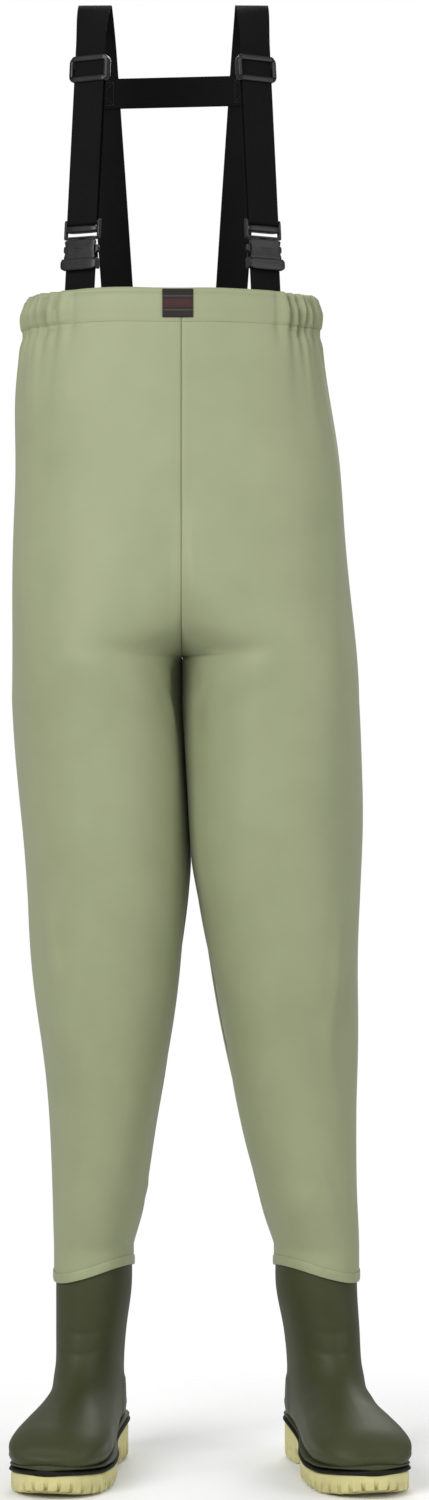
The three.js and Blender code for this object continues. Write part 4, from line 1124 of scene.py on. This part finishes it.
def half_loop(radius, y, z, way, steps=22):
    """Webbing's middle line round a bar, from its back to its front, under (-1) or over (1)."""
    reach = radius + FIT + WEB_WALL / 2
    angle = way * math.pi * np.linspace(0, 1, steps)
    return np.stack([0 * angle, y + reach * np.cos(angle), z + reach * np.sin(angle)], -1)


def straight(a, b, count):
    """Evenly spaced places between two points, the first left out."""
    return np.linspace(a, b, count + 1)[1:]


print("front strap", round(float(front_frame(1)[2]), 1), "mm from the rim to the shoulder")

# %% [markdown]
# ### Webbing
# Each shoulder has a front strap, the end that returns to its slider, a back strap and the anchor
# that ties the buckle to the chest, and one cross strap joins both. The front strap bends when its
# buckle opens, but here it is swept once and left on no body; the returning end rides on the strap's body.

# %% Webbing
# Heights of the bars along the strap from the rim, and their radii.
SOCKET_BAR, PLUG_BAR, SLIDER_Z = 28.0, 78.0, 255.0
SOCKET_BAR_RADIUS, PLUG_BAR_RADIUS, SLIDER_BAR_RADIUS = 2.4, 2.0, 1.5
WEB_FACE = PLUG_BAR_RADIUS + FIT + WEB_WALL / 2
BAR_Y = -WEB_FACE + WEB_WALL / 2 + FIT + WEB_WALL + FIT + SLIDER_BAR_RADIUS
frames = {}
for name, side in SIDES:
    origin, axes, length = front_frame(side)
    start, end, along, outwards, across = back_line(side)
    frames[side] = (origin, axes, length, end, along, outwards)

    loop = origin + half_loop(PLUG_BAR_RADIUS, 0, PLUG_BAR, -1) @ axes
    front = origin + np.array([0, -WEB_FACE, length]) @ axes
    crown = np.array([HARNESS + side * CROWN[0], *CROWN[1:]], float)
    lap = end + outwards * (WEB_WALL + FIT)
    lap_end = lap - along * LAPPED
    rise = 34  # the pull of each curve's ends
    rising = bezier(front, front + rise * axes[2], crown - [0, rise, 0], crown, 30)
    falling = bezier(crown, crown + [0, rise, 0], lap + rise * along, lap, 30)
    run = straight(loop[-1], front, 40)[:-1]
    path = np.concatenate([loop, run, rising, falling[1:], straight(lap, lap_end, 10)])
    turning = ease(np.arange(len(path)), len(loop) + len(run), len(loop) + len(run) + 30)[:, None]
    width_way = axes[0] * (1 - turning) + X_AXIS * turning
    strap = piece(f"front_webbing_{name}", [sweep(path, width_way, STRAND)], sharp=50)
    strap.data.materials.append(webbing)
    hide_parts(f"front_webbing_{name}")
    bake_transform(strap)

    foot = np.array([[0, WEB_FACE, PLUG_BAR + FIT]])
    top_loop = half_loop(SLIDER_BAR_RADIUS, BAR_Y, SLIDER_Z, 1)
    local = np.concatenate([foot, straight(foot[0], top_loop[0], 30), top_loop[1:]])
    doubled = piece(f"return_webbing_{name}", [sweep(origin + local @ axes, axes[0], STRAND)], sharp=50)
    place(doubled, f"strap_{name}", webbing, [f"return_webbing_{name}"])
    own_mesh(doubled)

    flat = start + along * (FLAT_FROM - start[2]) / along[2]
    seat, _, seat_in = strap_seat(side, 1, BACK_REACH, np.float64(RIM - TAIL))
    tail = seat + seat_in * (WEB_WALL / 2 + SEAT_GAP)
    stretches = [straight(tail, start, 10), straight(start, flat, 50), straight(flat, end, 14)]
    path = np.concatenate([[tail], *stretches])
    twist = ease(path[:, 2], start[2], flat[2])[:, None]
    width_way = across * (1 - twist) + X_AXIS * twist
    back = piece(f"back_strap_{name}", [sweep(path, width_way, STRAND)], sharp=50)
    place(back, "garment", webbing, [f"back_strap_{name}"])

    seat, _, seat_in = strap_seat(side, -1, FRONT_REACH, np.float64(RIM - TAIL))
    tail = seat + seat_in * (WEB_WALL + SEAT_GAP)
    ring_in = SOCKET_BAR_RADIUS + FIT
    neck = origin + np.array([0, 0, SOCKET_BAR - ring_in - 1.0]) @ axes
    doubled_outline = rounded_outline(WEB, 2 * WEB_WALL, 1.2, steps=4, across=14)
    path = np.concatenate([[tail], straight(tail, origin, 12), straight(origin, neck, 8)])
    ring_turn = np.linspace(-math.pi / 2, 1.5 * math.pi, 40, endpoint=False)
    ring_reach = ring_in + WEB_WALL / 2
    ring_y, ring_z = ring_reach * np.cos(ring_turn), SOCKET_BAR + ring_reach * np.sin(ring_turn)
    ring = origin + np.stack([0 * ring_turn, ring_y, ring_z], -1) @ axes
    parts = [sweep(path, axes[0], doubled_outline), sweep(ring, axes[0], STRAND, closed=True)]
    anchor = piece(f"anchor_webbing_{name}", parts, sharp=50)
    place(anchor, "garment", webbing, [f"anchor_webbing_{name}"])

CROSS_LEVEL = 1591  # the height of the strap that joins the two
ends, standing = [], []
for side in (-1, 1):
    start, _, along, outwards, _ = back_line(side)
    level = CROSS_LEVEL + side * 2
    ends.append(start + along * (level - start[2]) / along[2] - outwards * (WEB_WALL + FIT))
    standing.append(along)
way = unit(ends[1] - ends[0])
path = np.linspace(ends[0] - way * 0.4 * WEB, ends[1] + way * 0.4 * WEB, 60)
upright = standing[1] * [0, 1, 1]
strand = rounded_outline(WEB * 0.92, WEB_WALL, 0.68, steps=3, across=14)
cross = piece("cross_strap", [sweep(path, upright, strand)], sharp=50)
place(cross, "garment", webbing, ["cross_strap"])
print("webbing pieces", 1 + 4 * len(SIDES))

# %% [markdown]
# ### Sewn boxes
# Where straps lap they are sewn with a box and a cross, the strongest seam for webbing. The same
# rods lie along its six lines, just proud of the face.

# %% Sewn boxes
PROUD = 0.12  # how far the thread's middle stands over the webbing


def sewn_box(middle_point, along, across, normal, length, width):
    """A box of stitches with a cross in it."""
    a, b = along * length / 2, across * width / 2
    k = [middle_point - a - b, middle_point + a - b, middle_point + a + b, middle_point - a + b]
    lines = [(k[0], k[1]), (k[1], k[2]), (k[2], k[3]), (k[3], k[0]), (k[0], k[2]), (k[1], k[3])]
    return [stitch_row(np.array(line), normal, pitch=3.0, length=2.3, radius=0.36) for line in lines]


for name, side in SIDES:
    origin, axes, length, end, along, outwards = frames[side]
    face = end + outwards * (1.5 * WEB_WALL + FIT + PROUD)
    parts = sewn_box(face - along * 42, along, X_AXIS, outwards, 28, 28)
    face = ends[(side + 1) // 2] - outwards * (WEB_WALL / 2 + PROUD)
    parts += sewn_box(face, way, unit(upright), -outwards, 24, 26)
    sewn = piece(f"strap_stitching_{name}", parts, sharp=80)
    place(sewn, "garment", thread)
    print(sewn.name, len(sewn.data.polygons) // 30, "stitches")

# %% [markdown]
# ## Buckles and sliders
# The hardware is moulded plastic. Its parts are rounded boxes, given by a superellipsoid, lofts
# whose width changes along the strap, round bars, and one frame carried round a rounded rectangle.
# They are worked out in the strap's own frame and then put in place.


# %% Moulded forms
def soft_box(low, high, squareness=7.0, rows=20, cols=36):
    """A rounded box: a superellipsoid, each direction a sine or cosine to the power 2 / squareness."""
    low, high = np.array(low, float), np.array(high, float)
    e = 2 / squareness
    v = np.linspace(-math.pi / 2, math.pi / 2, rows)[:, None]
    u = np.linspace(0, 2 * math.pi, cols, endpoint=False)[None]
    ring = signed_power(np.cos(v), e)
    x, y = ring * signed_power(np.cos(u), e), ring * signed_power(np.sin(u), e)
    unit_box = np.stack([x, y, signed_power(np.sin(v), e) + 0 * u], -1)
    return (low + high) / 2 + unit_box * (high - low) / 2


def long_form(stations, squareness=5.0, cols=36, smooth_to=40):
    """A form along the strap: height, centre x, centre y, half width and half depth at each station."""
    table = np.array(stations, float)
    z = np.linspace(table[0, 0], table[-1, 0], smooth_to)
    at = np.stack([np.interp(z, table[:, 0], table[:, k]) for k in range(1, 5)], -1)
    for _ in range(2):
        at[1:-1] = (at[:-2] + 2 * at[1:-1] + at[2:]) / 4
    close = np.sqrt(np.clip(1 - ((z - z.mean()) / (np.ptp(z) / 2)) ** 16, 0.02, 1))
    angle = np.linspace(0, 2 * math.pi, cols, endpoint=False)[None]
    c, s = signed_power(np.cos(angle), 2 / squareness), signed_power(np.sin(angle), 2 / squareness)
    x = at[:, :1] + at[:, 2:3] * close[:, None] * c
    y = at[:, 1:2] + at[:, 3:] * close[:, None] * s
    return np.stack([x, y, z[:, None] + 0 * x], -1)


def round_bar(radius, half_length, y, z, rows=24, cols=24):
    """A bar across the strap with rounded ends."""
    t = np.linspace(-1, 1, rows)[:, None]
    angle = np.linspace(0, 2 * math.pi, cols, endpoint=False)[None]
    r = radius * np.sqrt(np.clip(1 - np.abs(t) ** 30, 0, 1))
    return np.stack([t * half_length + 0 * angle, y + r * np.cos(angle), z + r * np.sin(angle)], -1)


def moulded(name, side, grids, body, extra=()):
    """A plastic piece from its grids in the strap's frame."""
    origin, axes = frames[side][:2]
    parts = [grid_part(origin + g @ axes, wrap_u=True, caps=True) for g in grids]
    made = piece(name, [*parts, *extra], sharp=35)
    return place(made, body, acetal, [name])


def slider_frame(side):
    """The slider's frame: a rounded outline carried round a rounded rectangle, deep at the rails."""
    half_w, half_h, radius = 22.3, 12.0, 4.5  # the rectangle's half sizes and its corners
    corner = np.linspace(0, math.pi / 2, 9)
    quarter = [(1, 1, 0), (-1, 1, 1), (-1, -1, 2), (1, -1, 3)]
    line = []
    for sx, sz, k in quarter:
        turn = corner + k * math.pi / 2
        x = sx * (half_w - radius) + radius * np.cos(turn)
        z = sz * (half_h - radius) + radius * np.sin(turn)
        line.append(np.stack([x, z], -1))
        following = quarter[(k + 1) % 4]
        first = [following[0] * (half_w - radius), following[1] * (half_h - radius)]
        first = np.array(first) + radius * np.array([math.cos(turn[-1]), math.sin(turn[-1])])
        line.append(np.linspace([x[-1], z[-1]], first, 9)[1:-1])
    flat = np.concatenate(line)
    rail = ease(np.abs(flat[:, 0]), half_w - 3.2, half_w - 0.6)
    # The frame is thin where the strap passes under it and deep at its two rails.
    depth = 2.5 + 7.5 * rail
    middle_y = -5.35 + 3.75 * rail
    path = np.stack([flat[:, 0], middle_y, SLIDER_Z + flat[:, 1]], -1)
    unit_outline = rounded_outline(1, 1, 0.28, steps=4)
    wide = 6.0 - 0.6 * rail
    origin, axes = frames[side][:2]
    return sweep(origin + path @ axes, axes[1], unit_outline, closed=True, scale=np.stack([depth, wide], -1))


print("a rounded box is a grid of", soft_box((0, 0, 0), (1, 1, 1)).shape[:2], "points")

# %% [markdown]
# ### Buckle and slider
# A side-release buckle has a socket, a plug and two sprung arms with ridges for thumb and finger, and
# a slider is a frame with one bar. They could be cut from solids, but moulded forms that overlap
# inside each piece keep every edge soft.

# %% Hardware
for name, side in SIDES:
    bar = round_bar(SLIDER_BAR_RADIUS, 20.8, BAR_Y, SLIDER_Z)
    moulded(f"slider_{name}", side, [bar], f"adjuster_{name}", [slider_frame(side)])

    socket = [
        long_form([(33.5, 0, -4.5, 20, 1.0), (37, 0, -4.6, 20, 1.2), (43, 0, -4.4, 18.6, 1.0),
                   (49, 0, -4.3, 18.2, 0.9), (54, 0, -4.5, 19.6, 1.1), (58, 0, -4.6, 20, 1.1)]),
        long_form([(33.5, 0, 4.5, 20, 1.0), (44, 0, 4.4, 18.6, 0.9), (54, 0, 4.5, 20, 1.0)]),
        soft_box((-20, -5.4, 33.2), (20, 5.4, 36.2)),
        soft_box((-22.6, -8.4, 22.2), (22.6, -5.2, 35.6), 4.5),
        soft_box((-21.4, -8.5, 26.8), (21.4, -6.2, 31.2), 3.0),
        soft_box((-22.6, -5.6, 24), (-19.7, 3.5, 36.2)),
        soft_box((19.7, -5.6, 24), (22.6, 3.5, 36.2)),
        soft_box((-7, -5.7, 44), (7, -4.8, 45.4), 4.0),
        soft_box((-7, -5.7, 47), (7, -4.8, 48.4), 4.0),
        round_bar(SOCKET_BAR_RADIUS, 21.2, 0, SOCKET_BAR),
    ]
    moulded(f"buckle_socket_{name}", side, socket, "garment")

    plug = [
        soft_box((-21, -5, 58.8), (21, 5, 61.2)),
        soft_box((-21.1, -5, 66), (21.1, 5, 73.8), 4.5),
        long_form([(40.5, 0, 0, 3.4, 1.2), (46, 0, 0, 4, 1.5), (59.6, 0, 0, 4, 1.5)]),
        soft_box((-22.6, -2.7, 58.9), (-19.7, 2.7, 81)),
        soft_box((19.7, -2.7, 58.9), (22.6, 2.7, 81)),
        round_bar(PLUG_BAR_RADIUS, 21.2, 0, PLUG_BAR),
    ]
    moulded(f"buckle_plug_{name}", side, plug, f"strap_{name}")
    print("buckle", name, len(socket), "forms in the socket,", len(plug), "in the plug")

    for way_name, way_out in (("outer", side), ("inner", -side)):
        stations = [(39.5, 15.5, 2, 2.3), (41, 15.9, 2.4, 2.6), (44.5, 17.95, 4.45, 2.6),
                    (50.5, 17.95, 4.45, 2.6), (52.5, 15.5, 2, 2.6), (58.1, 15.5, 2, 2.6)]
        arm = [long_form([(z, way_out * x, 0, w, d) for z, x, w, d in stations], smooth_to=60)]
        for low in (45.2, 47.1, 49.0):
            tip = way_out * 22.0
            arm.append(soft_box((tip - 0.5, -2.2, low), (tip + 0.5, 2.2, low + 0.8), 4.0, 10, 20))
        moulded(f"buckle_arm_{way_name}_{name}", side, arm, f"arm_{way_name}_{name}")

# %% [markdown]
# ## The cut sheets
# Each half is a sheet of cloth. The size it was cut to, the longest way round it by its height, is
# looked up here and not used further.

# %% The cut sheets
for name, side in SIDES:
    shell, wide, tall = shells[name]

# %% [markdown]
# ## Camera, light and floor
# A level camera far in front keeps the figure's proportions. A large soft light on the left models
# the form, a weaker one fills the right, and the pale floor gives the boots their contact shadow.

# %% Studio
def light(name, place_at, size, power, aim=(0, 0, 0.8)):
    """A square area light aimed at a point of the figure."""
    data = bpy.data.lights.new(name, "AREA")
    data.size = size
    data.energy = power
    lamp = bpy.data.objects.new(name, data)
    away = np.array(place_at, float) - np.array(aim, float)
    lamp.location = place_at
    flat = math.hypot(away[0], away[1])
    lamp.rotation_euler = (math.atan2(flat, away[2]), 0, math.atan2(away[0], -away[1]))
    bpy.context.scene.collection.objects.link(lamp)
    return lamp


light("key", (-2.0, -3.2, 2.6), 2.2, 122, aim=(0, 0, 1.25))
light("fill", (3.0, -2.4, 1.9), 2.6, 50, aim=(0, 0, 1.0))
light("back", (0.5, 3.0, 2.8), 2.0, 60)

world = bpy.context.scene.world or bpy.data.worlds.new("studio")
bpy.context.scene.world = world
world.use_nodes = True
sky = world.node_tree
backdrop = sky.nodes["Background"]
backdrop.inputs["Color"].default_value = (1, 1, 1, 1)
seen = put(sky, "LightPath").outputs["Is Camera Ray"]
sky.links.new(ramp(sky, seen, 0.0, 1.0, 0.5, 1.0), backdrop.inputs["Strength"])
bpy.context.scene.view_settings.view_transform = "Standard"

floor_mesh = bpy.data.meshes.new("floor")
floor_mesh.from_pydata([(-2, -2, 0), (2, -2, 0), (2, 2, 0), (-2, 2, 0)], [], [(0, 1, 2, 3)])
floor = bpy.data.objects.new("floor", floor_mesh)
bpy.context.scene.collection.objects.link(floor)
paper = finish("floor paper", (0.9, 0.9, 0.9, 1), (0.94, 0.94, 0.94, 1), 0.9, 2.0)
nodes = paper.node_tree
# The paper fades out away from the boots, so that no edge shows.
away = put(nodes, "VectorMath", {0: put(nodes, "TexCoord").outputs["Object"]}, operation="LENGTH")
shown = ramp(nodes, away.outputs["Value"], 0.3, 0.75, 1.0, 0.0)
nodes.links.new(shown, nodes.nodes["Principled BSDF"].inputs["Alpha"])
floor.data.materials.append(paper)

camera_data = bpy.data.cameras.new("camera")
camera_data.lens = 91.6
camera_data.sensor_width = 36
camera = bpy.data.objects.new("camera", camera_data)
camera.location = ((ORIGIN[0] + 1.15) * MM, -4.356, 0.823)
camera.rotation_euler = (math.pi / 2, 0, 0)
bpy.context.scene.collection.objects.link(camera)
bpy.context.scene.camera = camera
